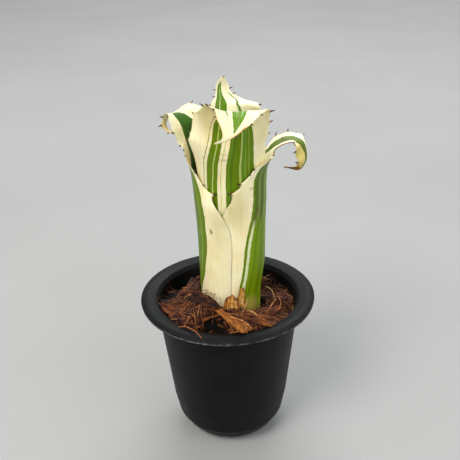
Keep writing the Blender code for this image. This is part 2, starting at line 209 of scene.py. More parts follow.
def ramp(tree, value, stops, way="LINEAR"):
    """The colour at this value, from stops of (place, sRGB hex code)."""
    made = add(tree, "ValToRGB", {"Fac": value}, stops)
    made.color_ramp.interpolation = way
    return made.outputs["Color"]


def blend(tree, share, first, second, way="MIX"):
    """Mixes two colours; each is a socket or an sRGB hex code."""
    ends = [linear(c) if isinstance(c, str) else c for c in (first, second)]
    inputs = {0: share, 6: ends[0], 7: ends[1]}
    return add(tree, "Mix", inputs, data_type="RGBA", blend_type=way).outputs[2]


def stain(tree, colour, value, low, high, most, code, way="MIX"):
    """Blends a colour in: none of it where the value is low, the share most where it is high."""
    return blend(tree, spread(tree, value, low, high, 0, most), colour, code, way)


def surface(tree, shader, colour, roughness, specular=0.5, bumps=()):
    """Sets the shader. Each bump is a height, what its 0 to 1 stands for (mm) and a strength."""
    inputs = {"Base Color": colour, "Roughness": roughness, "Specular IOR Level": specular}
    for height, distance, strength in bumps:
        below = {"Normal": inputs["Normal"]} if "Normal" in inputs else {}
        values = {"Height": height, "Distance": distance * MM, "Strength": strength, **below}
        inputs["Normal"] = add(tree, "Bump", values).outputs["Normal"]
    fill(tree, shader, inputs)


def polypropylene():
    """Injection-moulded black polypropylene: dull, faintly grained, with dust and scuffs, a painted sheen
    on what faces up and a painted highlight along the lip's lower edge.
    """
    made, tree, shader, place = new_material("black_polypropylene")
    grain = noise(tree, place, 0.35 * MM, 2)
    drift = noise(tree, place, 16 * MM, 4)
    drag = noise(tree, drawn_out(tree, place, (1, 1, 0.12)), 0.9 * MM, 3, 0.7)
    colour = blend(tree, spread(tree, drift, 0.35, 0.7), "#090A0A", "#111413")
    # Pale dust lies thin on what faces up and gathers in patches; its bluish grey there is also a painted
    # sheen of reflected light on the lip and rim
    facing = add(tree, "NewGeometry").outputs["Normal"]
    upwards = add(tree, "SeparateXYZ", {"Vector": facing}).outputs["Z"]
    patches = spread(tree, noise(tree, place, 5 * MM, 5, 0.65), 0.45, 0.75)
    dust_and_sheen = combined(tree, "MULTIPLY", spread(tree, upwards, 0.1, 1.0, 0.08, 0.3), patches)
    colour = blend(tree, dust_and_sheen, colour, "#252A29")
    colour = stain(tree, colour, drag, 0.66, 0.8, 0.25, "#3A3A36")
    # Pale along the lip's lower edge: rubbed wear, and a painted highlight there
    ragged = spread(tree, noise(tree, place, 1.1 * MM, 4), 0.35, 0.6)
    worn_and_lit = combined(tree, "MULTIPLY", attribute(tree, "wear_and_highlight"), ragged)
    colour = blend(tree, worn_and_lit, colour, "#A2A7A4")
    dull = spread(tree, drift, 0.3, 0.7, 0.42, 0.56)
    surface(tree, shader, colour, dull, 0.12, [(grain, 0.02, 0.5), (drag, 0.02, 0.4)])
    return made


def coir_pith():
    """Damp coir pith and dust between the husk: matt, crumbly and dark, with painted shade that darkens it
    to near black in its hollows.
    """
    made, tree, shader, place = new_material("coir_pith")
    height = attribute(tree, "relief")
    crumbs = noise(tree, place, 0.9 * MM, 5, 0.7)
    strands = noise(tree, drawn_out(tree, place, (1, 0.16, 0.6), 0.6), 0.5 * MM, 3)
    # Painted shade: the lower the relief, the darker the pith
    colour = blend(tree, spread(tree, height, 0.2, 0.75), "#0A0504", "#3E1C10")
    colour = stain(tree, colour, crumbs, 0.5, 0.72, 0.7, "#5C2A16")
    colour = stain(tree, colour, strands, 0.62, 0.72, 0.6, "#7A4020")
    colour = stain(tree, colour, noise(tree, place, 7 * MM, 2), 0.5, 0.66, 0.7, "#150A08")
    # Painted shade, near black at the bottom of the hollows
    colour = stain(tree, colour, height, 0.3, 0.05, 1, "#050302")
    surface(tree, shader, colour, 0.95, 0.25, [(crumbs, 0.5, 0.8), (strands, 0.25, 0.7)])
    return made


def coconut_husk():
    """Broken coconut husk: bundles of fibre run lengthwise, torn pale at raised ridges."""
    made, tree, shader, place = new_material("coconut_husk")
    dark, middle, light = "#1A0B07", "#552510", "#A9682A"
    drawn = drawn_out(tree, attribute(tree, "grain", "Vector"), (0.14, 1, 1))
    bundles = noise(tree, drawn, 0.55 * MM, 4, 0.65)
    pith = noise(tree, place, 1.6 * MM, 4)
    wide = spread(tree, noise(tree, drawn, 2.2 * MM, 2), 0.3, 0.7, -0.22, 0.22)
    mixed = combined(tree, "ADD", attribute(tree, "tone"), wide)
    colour = ramp(tree, mixed, [(0, dark), (0.5, middle), (1, light)])
    colour = stain(tree, colour, bundles, 0.55, 0.75, 0.55, light)
    colour = stain(tree, colour, bundles, 0.47, 0.3, 0.85, "#190B07")
    colour = stain(tree, colour, pith, 0.58, 0.75, 0.5, dark)
    surface(tree, shader, colour, 0.85, 0.3, [(bundles, 0.5, 1), (pith, 0.25, 0.6)])
    return made


def coir_strand():
    """Loose coir fibre: wiry and slightly waxy, dark brown to straw from strand to strand."""
    made, tree, shader, place = new_material("coir_strand")
    mottle = spread(tree, noise(tree, place, 2.5 * MM, 3), 0.3, 0.7, -0.15, 0.15)
    mixed = combined(tree, "ADD", attribute(tree, "tone"), mottle)
    stops = [(0, "#1C0B07"), (0.4, "#4A1F11"), (0.68, "#84451F"), (0.86, "#B4722F"), (1, "#D8AA66")]
    surface(tree, shader, ramp(tree, mixed, stops), 0.6)
    return made


# Colours of a living leaf, by what they are, except the palest cream, which is painted light: cream made
# paler for the inner faces of the right and back leaves, which lie in shade
LEAF_COLOURS = {
    "cream": "#F6EDC4", "lit cream": "#FFFADD", "white": "#DDE3B4", "straw": "#D9C878",
    "lime": "#749200", "olive": "#648200", "deep": "#567400", "leaf green": "#60891F",
    "pale": "#B4C26C", "mist": "#7F9A34", "mint": "#A3C489", "bottle": "#376418",
    "dark": "#2A5413", "moss": "#566A20", "sage": "#758A3E",
}


def leaf_tissue(name, leaf, length):
    """Fresh variegated leaf: waxy cream tissue without pigment, with long green stripes.

    The stripes follow the leaf's own width, the fine veins run its whole length, and dry or
    bruised spots turn brown.
    """
    made, tree, shader, place = new_material(name)
    sheet = attribute(tree, "sheet", "Vector")
    lengthwise = drawn_out(tree, sheet, (1, 0.03, 1))
    sway = drawn_out(tree, sheet, (0.5, 0.12, 1))
    veins = noise(tree, lengthwise, 0.7 * MM, 2, 0.6)
    threads = noise(tree, lengthwise, 0.28 * MM, 2, 0.5)
    wander = spread(tree, noise(tree, sway, 3 * MM, 2), 0.25, 0.75, -0.012, 0.012)
    feather = spread(tree, threads, 0.25, 0.75, -0.007, 0.007)
    across = combined(tree, "ADD", attribute(tree, "stripe"), wander)
    across = spread(tree, combined(tree, "ADD", across, feather), -1, 1)
    # Some stripes run out part of the way along, so a face has one ramp for each stretch
    along = add(tree, "SeparateXYZ", {"Vector": sheet}).outputs["Y"]
    ragged = spread(tree, noise(tree, lengthwise, 0.5 * MM, 1), 0.3, 0.7, -1.2 * MM, 1.2 * MM)
    along = combined(tree, "ADD", along, ragged)
    faces = []
    for face, fade in (("outside", 2.5 * MM), ("inside", 0.1 * MM)):
        colour = None
        for start, stripes in leaf[face + "_stripes"]:
            # The ramp's 0 to 1 runs from margin to margin, the stripes' -1 to 1
            stops = [(0.5 + 0.5 * edge, LEAF_COLOURS[shade]) for edge, shade in stripes]
            shown = ramp(tree, across, stops, "CONSTANT")
            past = spread(tree, along, start * length - fade, start * length + fade)
            colour = shown if colour is None else blend(tree, past, colour, shown)
        faces.append(colour)
    colour = blend(tree, attribute(tree, "inner"), *faces)
    # The tissue is warmer in places and yellower in others, and its veins show faintly
    warm, yellow = noise(tree, place, 14 * MM, 2), noise(tree, place, 9 * MM, 3)
    colour = stain(tree, colour, warm, 0.42, 0.66, 0.5, "#FDEBD8", "MULTIPLY")
    colour = stain(tree, colour, yellow, 0.48, 0.7, 0.5, "#F2F0CE", "MULTIPLY")
    colour = stain(tree, colour, veins, 0.5, 0.68, 0.32, "#DFE0C2", "MULTIPLY")
    colour = stain(tree, colour, threads, 0.55, 0.7, 0.22, "#E6E4C8", "MULTIPLY")
    # Painted shade: greyer where the shaded patches lie, and on the right leaf partly greyer tissue
    colour = blend(tree, attribute(tree, "shaded"), colour, "#D2CDAE", "MULTIPLY")
    # Specks of dust, small scars, and what has dried
    colour = stain(tree, colour, noise(tree, place, 0.8 * MM, 1), 0.74, 0.8, 0.5, "#8F7A4A")
    crumbly = spread(tree, noise(tree, place, 0.5 * MM, 3), 0.3, 0.6, 0.5, 1.3)
    scarred = combined(tree, "MULTIPLY", attribute(tree, "mark"), crumbly, True)
    colour = blend(tree, scarred, colour, "#54331F")
    uneven = spread(tree, noise(tree, lengthwise, 0.9 * MM, 3), 0.3, 0.65, 0.4, 1.2)
    parched = combined(tree, "MULTIPLY", attribute(tree, "dry"), uneven, True)
    dead = ramp(tree, parched, [(0, "#E4CD7C"), (0.45, "#C58F3C"), (1, "#4A2E1A")])
    colour = blend(tree, spread(tree, parched, 0.05, 0.5), colour, dead)
    swell = noise(tree, place, 3 * MM, 2)
    bumps = [(veins, 0.09, 0.45), (threads, 0.03, 0.4), (swell, 0.12, 0.35)]
    surface(tree, shader, colour, spread(tree, parched, 0, 1, 0.42, 0.8), 0.16, bumps)
    under = {"Subsurface Weight": 0.12, "Subsurface Radius": (1.0, 0.9, 0.35)}
    fill(tree, shader, {**under, "Subsurface Scale": 0.6 * MM})
    return made


def spine_horn():
    """Dead, hardened leaf spines: reddish at the foot, nearly black and glossy at the point."""
    made, tree, shader, place = new_material("leaf_spine")
    stops = [(0, "#A5683F"), (0.18, "#5E2E20"), (0.4, "#241110"), (1, "#120A09")]
    colour = ramp(tree, attribute(tree, "tone"), stops)
    surface(tree, shader, colour, 0.4, bumps=[(noise(tree, place, 0.3 * MM, 2), 0.03, 1)])
    return made


def dead_scale():
    """Papery remains of old leaves: ochre, rotted brown towards torn edges, ribbed, with painted shade in
    the valleys between the ribs.
    """
    made, tree, shader, place = new_material("dead_leaf_scale")
    drawn = drawn_out(tree, attribute(tree, "grain", "Vector"), (0.2, 1, 1))
    ribs = noise(tree, drawn, 0.6 * MM, 3)
    rot = spread(tree, noise(tree, place, 1.8 * MM, 3), 0.3, 0.7, -0.3, 0.4)
    # The tone carries the rot and the painted shade in the fold valleys
    rot_and_fold_shade = combined(tree, "ADD", attribute(tree, "tone"), rot, True)
    stops = [(0, "#EBCB84"), (0.32, "#D4953C"), (0.62, "#9E5F20"), (1, "#54290F")]
    colour = stain(tree, ramp(tree, rot_and_fold_shade, stops), ribs, 0.55, 0.7, 0.6, "#8B5420")
    surface(tree, shader, colour, 0.62, bumps=[(ribs, 0.25, 0.9)])
    fill(tree, shader, {"Subsurface Weight": 0.15, "Subsurface Scale": 0.6 * MM})
    return made


def stem_rind():
    """The short stem's corky rind, ringed by old leaf scars."""
    made, tree, shader, place = new_material("stem_rind")
    rings = noise(tree, drawn_out(tree, place, (0.1, 0.1, 1)), 1.1 * MM, 2)
    cork = noise(tree, place, 1.2 * MM, 4)
    colour = blend(tree, spread(tree, rings, 0.4, 0.6), "#8C6A35", "#C9AE6E")
    colour = stain(tree, colour, cork, 0.5, 0.7, 0.8, "#5A3B1E")
    surface(tree, shader, colour, 0.8, bumps=[(rings, 0.4, 0.8), (cork, 0.2, 0.6)])
    return made


def studio_paper():
    """Matt backdrop paper, very slightly uneven."""
    made, tree, shader, place = new_material("backdrop_paper")
    colour = blend(tree, noise(tree, place, 180 * MM, 2), "#9C9D9C", "#A8A9A8")
    surface(tree, shader, colour, 0.9, 0.1, [(noise(tree, place, 1.5 * MM, 3), 0.05, 0.4)])
    return made


# Surfaces


def rough(x, y, size, seed):
    """Smooth random heights from -1 to 1, one every size, eased between by 3t^2 - 2t^3."""
    cells = 96
    heights = np.random.default_rng(seed).uniform(-1, 1, (cells, cells))
    u, v = np.broadcast_arrays(x / size + 31.7, y / size + 47.3)
    i, j = np.floor(u).astype(int), np.floor(v).astype(int)
    s, t = u - i, v - j
    s, t = s * s * (3 - 2 * s), t * t * (3 - 2 * t)
    low = heights[i % cells, j % cells] * (1 - s) + heights[(i + 1) % cells, j % cells] * s
    above = (j + 1) % cells
    high = heights[i % cells, above] * (1 - s) + heights[(i + 1) % cells, above] * s
    return low * (1 - t) + high * t


def through(knots, values, at):
    """A smooth curve through the rows: cubic between knots, slopes from the neighbours."""
    slopes = np.gradient(values, knots, axis=0)
    left = np.clip(np.searchsorted(knots, at, side="right") - 1, 0, len(knots) - 2)
    span = (knots[left + 1] - knots[left])[:, None]
    x = (at[:, None] - knots[left][:, None]) / span
    start = (2 * x**3 - 3 * x**2 + 1) * values[left]
    start += (x**3 - 2 * x**2 + x) * span * slopes[left]
    end = (3 * x**2 - 2 * x**3) * values[left + 1]
    return start + end + (x**3 - x**2) * span * slopes[left + 1]


def unit(vectors):
    """Each vector at length 1."""
    return vectors / np.maximum(np.linalg.norm(vectors, axis=-1, keepdims=True), 1e-12)


def rising(value, start, span):
    """0 up to start, then evenly up to 1 over the span."""
    return np.clip((value - start) / span, 0, 1)


def joined(x, y, z):
    """Points from three arrays, or numbers, that are spread to one shape."""
    return np.stack(np.broadcast_arrays(x, y, z), axis=-1)


def turned(radius, height, turn, centre=(0, 0)):
    """Points on level circles: the centre plus radius (cos turn, sin turn), at the height."""
    return joined(centre[0] + radius * np.cos(turn), centre[1] + radius * np.sin(turn), height)


def full_turn(steps):
    """Evenly spaced angles once round, without the last, which is the first again."""
    return np.linspace(0, 2 * np.pi, steps, endpoint=False)


def grid_faces(rows, columns, around=False):
    """Quads between the points of a grid, joined round its columns if around."""
    index = np.arange(rows * columns).reshape(rows, columns)
    if around:
        index = np.concatenate([index, index[:, :1]], axis=1)
    corners = [index[:-1, :-1], index[:-1, 1:], index[1:, 1:], index[1:, :-1]]
    return np.stack(corners, axis=-1).reshape(-1, 4)


def closed_object(name, points, faces, values=None, weld=0.0):
    """An object made of points and faces, with named values at its points.

    Points closer than weld become one, which closes seams and poles, and then the faces are
    turned outwards.
    """
    mesh = bpy.data.meshes.new(name)
    mesh.from_pydata(points.reshape(-1, 3).tolist(), [], faces.tolist())
    for key, value in (values or {}).items():
        vector = value.shape[-1] == 3 and value.size == points.size
        layer = mesh.attributes.new(key, "FLOAT_VECTOR" if vector else "FLOAT", "POINT")
        layer.data.foreach_set("vector" if vector else "value", value.astype(np.float32).ravel())
    shape = bmesh.new()
    shape.from_mesh(mesh)
    if weld:
        bmesh.ops.remove_doubles(shape, verts=shape.verts[:], dist=weld)
    bmesh.ops.recalc_face_normals(shape, faces=shape.faces[:])
    shape.to_mesh(mesh)
    shape.free()
    made = bpy.data.objects.new(name, mesh)
    bpy.context.scene.collection.objects.link(made)
    return made


def add_piece(name, points, faces, finish, replaces=(), values=None, weld=0.0):
    """A smooth piece of the object, with its finish and the nodes it stands for."""
    piece = closed_object(name, points, faces, values, weld)
    piece.data.shade_smooth()
    piece.data.materials.append(finish)
    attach(piece, "root")
    if replaces:
        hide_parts(*replaces)
    return piece


def shell(middle, half):
    """A closed skin round a sheet: middle + half * normal out and middle - half * normal back.

    The sheet's points run along by across, and half is 0 at its four edges. Returns the points,
    the faces, the column that each point came from, and 1 on the normal's side or 0.
    """
    normal = unit(np.cross(np.gradient(middle, axis=1), np.gradient(middle, axis=0)))
    last = middle.shape[1] - 1
    order = np.r_[0 : last + 1, last - 1 : 0 : -1]
    side = np.where(np.arange(len(order)) <= last, 1.0, -1.0)
    points = middle[:, order] + (side * half[:, order])[..., None] * normal[:, order]
    face_side = np.where(side > 0, 1.0, 0.0)
    face_side[[0, last]] = 0.5
    return points, grid_faces(len(middle), len(order), True), order, face_side


def copies(faces, count, points):
    """The same faces for each of a count of shapes that have this many points each."""
    return (faces[None] + (np.arange(count) * points)[:, None, None]).reshape(-1, 4)


def tubes(paths, radii):
    """Thin tubes: each path's point plus radius * (U cos a + V sin a), capped at both ends.

    Paths are tubes by points by 3. U is level, across the path, and V is square to both.
    """
    sides = 4
    count, steps = paths.shape[:2]
    ahead = unit(np.gradient(paths, axis=1))
    level = unit(np.cross(ahead, np.array([0.11, 0.07, 1.0])))
    upper = np.cross(level, ahead)
    turn = full_turn(sides)
    ring = level[:, :, None] * np.cos(turn)[:, None] + upper[:, :, None] * np.sin(turn)[:, None]
    points = paths[:, :, None] + radii[:, :, None, None] * ring
    first = np.arange(sides)
    caps = np.stack([first[::-1], first + (steps - 1) * sides])
    one = np.concatenate([grid_faces(steps, sides, True), caps])
    return points, copies(one, count, steps * sides)


# Pot


def eased(corners, reach, steps=6):
    """A profile with each corner rounded: a parabola from reach before it to reach after."""
    corners = np.array(corners, float)
    before, corner, after = corners[:-2], corners[1:-1], corners[2:]
    back, ahead = before - corner, after - corner
    cut_back = np.minimum(reach, 0.45 * np.linalg.norm(back, axis=1))[:, None]
    cut_ahead = np.minimum(reach, 0.45 * np.linalg.norm(ahead, axis=1))[:, None]
    start, end = corner + unit(back) * cut_back, corner + unit(ahead) * cut_ahead
    t = np.linspace(0, 1, steps)[None, :, None]
    arcs = (1 - t) ** 2 * start[:, None] + 2 * t * (1 - t) * corner[:, None] + t**2 * end[:, None]
    return np.concatenate([corners[:1], arcs.reshape(-1, 2), corners[-1:]])


def divided(profile, longest):
    """The same profile with no stretch longer than this."""
    pieces = []
    for start, end in zip(profile[:-1], profile[1:]):
        count = max(1, int(np.ceil(np.linalg.norm(end - start) / longest)))
        pieces.append(start + (end - start) * np.arange(count)[:, None] / count)
    return np.concatenate([*pieces, profile[-1:]])


def inner_wall():
    """Radius and height of the pot's inner wall, from its floor to under the lip."""
    return [
        (BASE_RADIUS - WALL, FOOT_HEIGHT + WALL),
        (SHOULDER_RADIUS - 2.2 * WALL, 0.5 * SHOULDER_HEIGHT),
        (SHOULDER_RADIUS - WALL, SHOULDER_HEIGHT),
        (NECK_RADIUS - WALL, RIM_HEIGHT - LIP_DROP - LIP_THICKNESS),
        (NECK_RADIUS + 0.2 * WALL, RIM_HEIGHT - LIP_DROP),
    ]


def pot_inner_radius(height):
    wall = inner_wall()
    return np.interp(height, [h for _, h in wall], [r for r, _ in wall])


def make_pot(finish):
    """The pot's section turned about Z, out of round by a fifth of a millimetre."""
    lip_under = RIM_HEIGHT - LIP_DROP - LIP_THICKNESS
    inside = [(0, FOOT_HEIGHT + WALL), *inner_wall()]
    lip = [
        (0.5 * (RIM_RADIUS + NECK_RADIUS), RIM_HEIGHT),
        (RIM_RADIUS - LIP_THICKNESS, RIM_HEIGHT - 0.3 * LIP_DROP),
        (RIM_RADIUS, RIM_HEIGHT - LIP_DROP),
        (RIM_RADIUS - 0.2 * LIP_THICKNESS, lip_under),
    ]
    outside = [
        (NECK_RADIUS + 0.5 * WALL, lip_under),
        (NECK_RADIUS, lip_under - WALL),
        (SHOULDER_RADIUS, SHOULDER_HEIGHT),
        (SHOULDER_RADIUS - 1.7 * MM, 0.5 * SHOULDER_HEIGHT),
        (SHOULDER_RADIUS - 5.0 * MM, 0.2 * SHOULDER_HEIGHT),
        (BASE_RADIUS, 0),
    ]
    foot = [
        (BASE_RADIUS - 2 * WALL, 0),
        (BASE_RADIUS - 3 * WALL, FOOT_HEIGHT),
        (0, FOOT_HEIGHT),
    ]
    profile = divided(eased(inside + lip + outside + foot, 0.35 * MM), 1.6 * MM)
    turn = full_turn(288)
    radius, height = profile[:, :1], profile[:, 1:]
    wobble = 1 + 0.003 * height / RIM_HEIGHT * np.cos(2 * turn + 0.7)
    points = turned(radius * wobble, height, turn)
    # Pale along the lower edge of the lip, where the plastic is rubbed and where a painted highlight
    # stands for light caught by the edge
    away = ((radius - RIM_RADIUS) / (0.5 * MM)) ** 2 + ((height - lip_under) / (0.9 * MM)) ** 2
    wear_and_highlight = {"wear_and_highlight": np.exp(-away) * (0.55 + 0.45 * rough(turn * 12, height / MM, 1.0, 5))}
    faces = grid_faces(len(profile), len(turn), True)
    pot = add_piece("nursery_pot", points, faces, finish, ["pot"], wear_and_highlight, 0.01 * MM)
    cut_drain_holes(pot)


def cut_drain_holes(pot):
    """Four round holes through the base, on a ring, cut with a turned drill."""
    turn = full_turn(48)
    faces = grid_faces(4, len(turn), True)
    radius = np.array([[0], [1], [1], [0]]) * DRAIN_HOLE_RADIUS
    height = np.array([[-2], [-2], [6], [6]]) * MM
    drills = []
    for way in full_turn(DRAIN_HOLE_COUNT):
        centre = DRAIN_RING_RADIUS * np.cos(way), DRAIN_RING_RADIUS * np.sin(way)
        drill = closed_object("drill", turned(radius, height, turn, centre), faces, None, 0.01 * MM)
        drills.append(drill)
        cut = pot.modifiers.new("Drain hole", "BOOLEAN")
        cut.operation = "DIFFERENCE"
        cut.solver = "EXACT"
        cut.object = drill
    graph = bpy.context.evaluated_depsgraph_get()
    cut_mesh = bpy.data.meshes.new_from_object(pot.evaluated_get(graph))
    pot.modifiers.clear()
    pot.data = cut_mesh
    for drill in drills:
        bpy.data.objects.remove(drill)


# Coir


def tube_radius(height, layer=0):
    """Middle of the leaf of this layer, counted from the outside, where it wraps the tube."""
    return TUBE_RADIUS + TUBE_FLARE * (height - RIM_HEIGHT) - layer * LAYER_PITCH


def coir_height(x, y):
    """The coir's surface: level, with a heap in front and to the left, and small rises."""
    facing = (-0.75 * y - 0.66 * x) / NECK_RADIUS
    heap = COIR_HEAP / (1 + np.exp(-9 * (facing - 0.12)))
    bumps = 0.3 * MM * (np.sin(x / (2.9 * MM) + 1) + np.sin(y / (2.3 * MM)))
    return RIM_HEIGHT - COIR_BELOW_RIM + heap + bumps


# Hollows in the coir: x, y, radius and depth in millimetres, with a rise as a negative depth
HOLLOWS = [
    (-6, -25.0, 6.8, 9.0),
    (-27, -15, 3.0, 4.0),
    (-24, -9, 7.0, 3.0),
    (-27, 6, 7.0, 5.0),
    (-22, 19, 7.0, 5.0),
    (-13.5, 11.5, 5.0, -3.5),
    (-9, -12.5, 6.0, -3.4),
    (14, -22, 3.0, 2.5),
    (22, -3, 4.5, 3.0),
    (19, 13, 5.0, 3.0),
    (-4, 24, 6.0, 3.0),
    (28, -6, 3.5, 3.0),
]

# Coir pressed up round the front of the tube: height and reach
COLLAR_HEIGHT = 3.2 * MM
COLLAR_REACH = 4.5 * MM


def hollowed(x, y):
    """How far the hollows lower the surface: each a smooth round dip."""
    down = 0 * x
    for middle_x, middle_y, radius, depth in HOLLOWS:
        away = ((x / MM - middle_x) ** 2 + (y / MM - middle_y) ** 2) / radius**2
        down = down + depth * MM * np.exp(-(away**1.5))
    return down


def collar(x, y):
    """How far the coir is pressed up against the front of the tube."""
    away = np.hypot(x - TUBE_AXIS[0], y - TUBE_AXIS[1]) - tube_radius(RIM_HEIGHT)
    front = np.clip(0.35 - (y - TUBE_AXIS[1]) / tube_radius(RIM_HEIGHT), 0, 1)
    return COLLAR_HEIGHT * front * np.exp(-((np.maximum(away, 0) / COLLAR_REACH) ** 2))


def smooth_coir(x, y):
    """The surface without its hollows and crumbs, on which pieces are laid."""
    return coir_height(x, y) + collar(x, y)


def coir_surface(x, y):
    """The surface with its hollows and with crumbs of three sizes."""
    crumbs = 0.9 * rough(x, y, 4.1 * MM, 1) + 0.55 * rough(x, y, 1.7 * MM, 2)
    crumbs = crumbs + 0.22 * rough(x, y, 0.7 * MM, 3)
    return smooth_coir(x, y) - hollowed(x, y) + crumbs * MM


def place_on_coir(azimuth, share):
    """The point this share of the way from the tube to the pot's wall, in plan."""
    turn = np.radians(azimuth)
    inner = tube_radius(RIM_HEIGHT) + 2 * LAYER_PITCH
    outer = pot_inner_radius(RIM_HEIGHT - COIR_BELOW_RIM)
    away = inner + (outer - inner) * share
    x = TUBE_AXIS[0] * (1 - share) + away * np.cos(turn)
    y = TUBE_AXIS[1] * (1 - share) + away * np.sin(turn)
    return x, y


def between_walls(points, spare=0.25 * MM, over_rim=RIM_RADIUS + 2 * MM):
    """Points moved level, out of the tube and in from the pot's wall, or over_rim above it."""
    kept = points.copy()
    axis = np.array(TUBE_AXIS)
    offset = kept[..., :2] - axis
    away = np.linalg.norm(offset, axis=-1, keepdims=True)
    least = tube_radius(kept[..., 2:]) + 0.5 * LEAF_THICKNESS + spare
    kept[..., :2] = axis + offset * np.maximum(1, least / np.maximum(away, 1e-9))
    away = np.linalg.norm(kept[..., :2], axis=-1, keepdims=True)
    most = pot_inner_radius(kept[..., 2:]) - spare
    most = np.where(kept[..., 2:] > RIM_HEIGHT - LIP_DROP, over_rim, most)
    kept[..., :2] *= np.minimum(1, most / np.maximum(away, 1e-9))
    return kept


def make_coir(finish):
    """Rings out of the tube's pocket, over the top, down the wall and back along the floor."""
    mouth = tube_radius(RIM_HEIGHT) + 0.5 * LEAF_THICKNESS + 0.2 * MM
    foot = RIM_HEIGHT - PLANT_DEPTH
    wall_top = RIM_HEIGHT - COIR_BELOW_RIM
    rim = pot_inner_radius(wall_top) - 0.15 * MM
    floor = FOOT_HEIGHT + WALL + 0.3 * MM
    turn = full_turn(460)
    share = np.linspace(0, 1, 120)[:, None]
    x = TUBE_AXIS[0] * (1 - share) + (mouth + share * (rim - mouth)) * np.cos(turn)
    y = TUBE_AXIS[1] * (1 - share) + (mouth + share * (rim - mouth)) * np.sin(turn)
    z = coir_surface(x, y)
    top = between_walls(joined(x, y, z), 0.15 * MM)
    # Relief about the smooth surface, from which the pith's painted shade is darkest in the hollows
    relief = np.clip(0.5 + (z - smooth_coir(x, y)) / (4 * MM), 0, 1)
    pocket = [(0, STEM_LOW - MM), (0.3 * mouth, STEM_LOW - MM), (mouth, STEM_LOW + 8 * MM), (mouth, foot)]
    wall = [
        (pot_inner_radius(height) - 0.3 * MM, height)
        for height in (wall_top - 8 * MM, SHOULDER_HEIGHT, 0.5 * SHOULDER_HEIGHT, floor)
    ] + [(0, floor)]
    inner = [turned(radius, height, turn, TUBE_AXIS) for radius, height in pocket]
    outer = [turned(radius, height, turn) for radius, height in wall]
    points = np.concatenate([inner, top, outer])
    plain = [np.zeros((len(rows), len(turn))) for rows in (inner, outer)]
    values = {"relief": np.concatenate([plain[0], relief, plain[1]])}
    faces = grid_faces(len(points), len(turn), True)
    add_piece("coir", points, faces, finish, ["coir_bed"], values, 0.005 * MM)


def flake(length, width, thickness, narrow, seed):
    """Points and faces of a torn flake of husk along +X, as a closed skin.

    Its outline narrows to this share of its width towards +X and is torn; ridges run its
    length, and it is cupped.
    """
    u, v = np.linspace(-1, 1, 44)[:, None], np.linspace(-1, 1, 27)[None, :]
    tear = 0.12 * rough(6 * v, 0 * v + seed, 1.0, seed)
    taper = 0.5 * (1 + narrow) - 0.5 * (1 - narrow) * u
    taper = taper * (1 + 0.12 * rough(5 * u, 0 * u + seed, 1.0, seed + 1))
    side_tear = 1 + 0.10 * rough(9 * u, np.sign(v) * 3 + 0 * u, 1.0, seed + 2)
    x = 0.5 * length * u * (1 + tear * np.abs(u) ** 3)
    y = 0.5 * width * v * taper * side_tear
    cup = 0.06 * width * v**2 + 0.03 * length * u**2
    z = cup + 0.2 * thickness * rough(x, y * 5, 1.6 * MM, seed + 3)
    ends = np.clip((1 - np.abs(u)) * 7, 0, 1) ** 0.5 * (1 - v**6) ** 0.5
    ridges = 0.8 + 0.35 * rough(x * 0.3, y, 0.5 * MM, seed + 4)
    half = 0.5 * thickness * ends * ridges * (1 - 0.35 * u)
    return shell(joined(x, y, z), half)[:2]


def turned_level(points, angle, tilt=(0.0, 0.0)):
    """Points tipped about X and Y by tilt, then turned about Z by angle."""
    c, s = np.cos(tilt[0]), np.sin(tilt[0])
    about_x = np.array([[1, 0, 0], [0, c, -s], [0, s, c]])
    c, s = np.cos(tilt[1]), np.sin(tilt[1])
    about_y = np.array([[c, 0, s], [0, 1, 0], [-s, 0, c]])
    c, s = np.cos(angle), np.sin(angle)
    about_z = np.array([[c, -s, 0], [s, c, 0], [0, 0, 1]])
    return points @ (about_z @ about_y @ about_x).T


# The chips that show: x, y, lift above the coir, length, width, thickness (mm), turn about Z and
# tilt about their own X and Y (degrees), tone from dark to straw, and how much of its width is
# left at the far end
CHIPS = [
    (-23.4, -9.6, -2.3, 14.5, 14.5, 1.5, 146, -6, -5, 0.42, 0.06),
    (-10, -14.3, 5, 14, 5.6, 1.4, -43, 42, 4, 0.1, 0.44),
    (1.6, -25.8, 2.2, 17.5, 6.6, 1.7, 133, 14, -8, 0.85, 0.44),
    (13.8, -24.6, 1.8, 10, 7.5, 1.6, -35, -16, 0, 0.58, 0.44),
    (19.3, -10.8, 2.2, 9, 6.5, 1.5, 50, -8, 6, 0.5, 0.44),
    (24.6, 5.3, 1.4, 8, 4.5, 1.3, 84, 14, 0, 0.3, 0.44),
    (9.9, 21.9, 1.4, 8, 4, 1.3, 169, -8, 0, 0.4, 0.44),
    (-8, 22.4, 1.6, 9, 5, 1.5, 192, 10, 5, 0.35, 0.44),
    (-16.5, 10.5, 2.8, 9.5, 5, 1.4, 247, 12, 8, 0.14, 0.44),
]


def make_chips(finish):
    """The nine larger chips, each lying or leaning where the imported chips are."""
    for number, row in enumerate(CHIPS):
        x, y, lift, length, width, thickness, turn, lean, pitch, tone, narrow = row
        x, y = x * MM, y * MM
        grain, faces = flake(length * MM, width * MM, thickness * MM, narrow, 40 + 7 * number)
        points = turned_level(grain, np.radians(turn), np.radians([lean, pitch]))
        points = between_walls(points + joined(x, y, smooth_coir(x, y) + lift * MM))
        values = {"grain": grain, "tone": np.full(points.shape[:2], tone)}
        name, node = f"large_chip_{number + 1}", f"husk_chip_{number + 1}"
        add_piece(name, points, faces, finish, [node], values, 0.004 * MM)


CRUMB_COUNT = 620
STRAND_COUNT = 1150
DENSE_SHARE = 0.45  # of the strands, which lie only at the right and the back


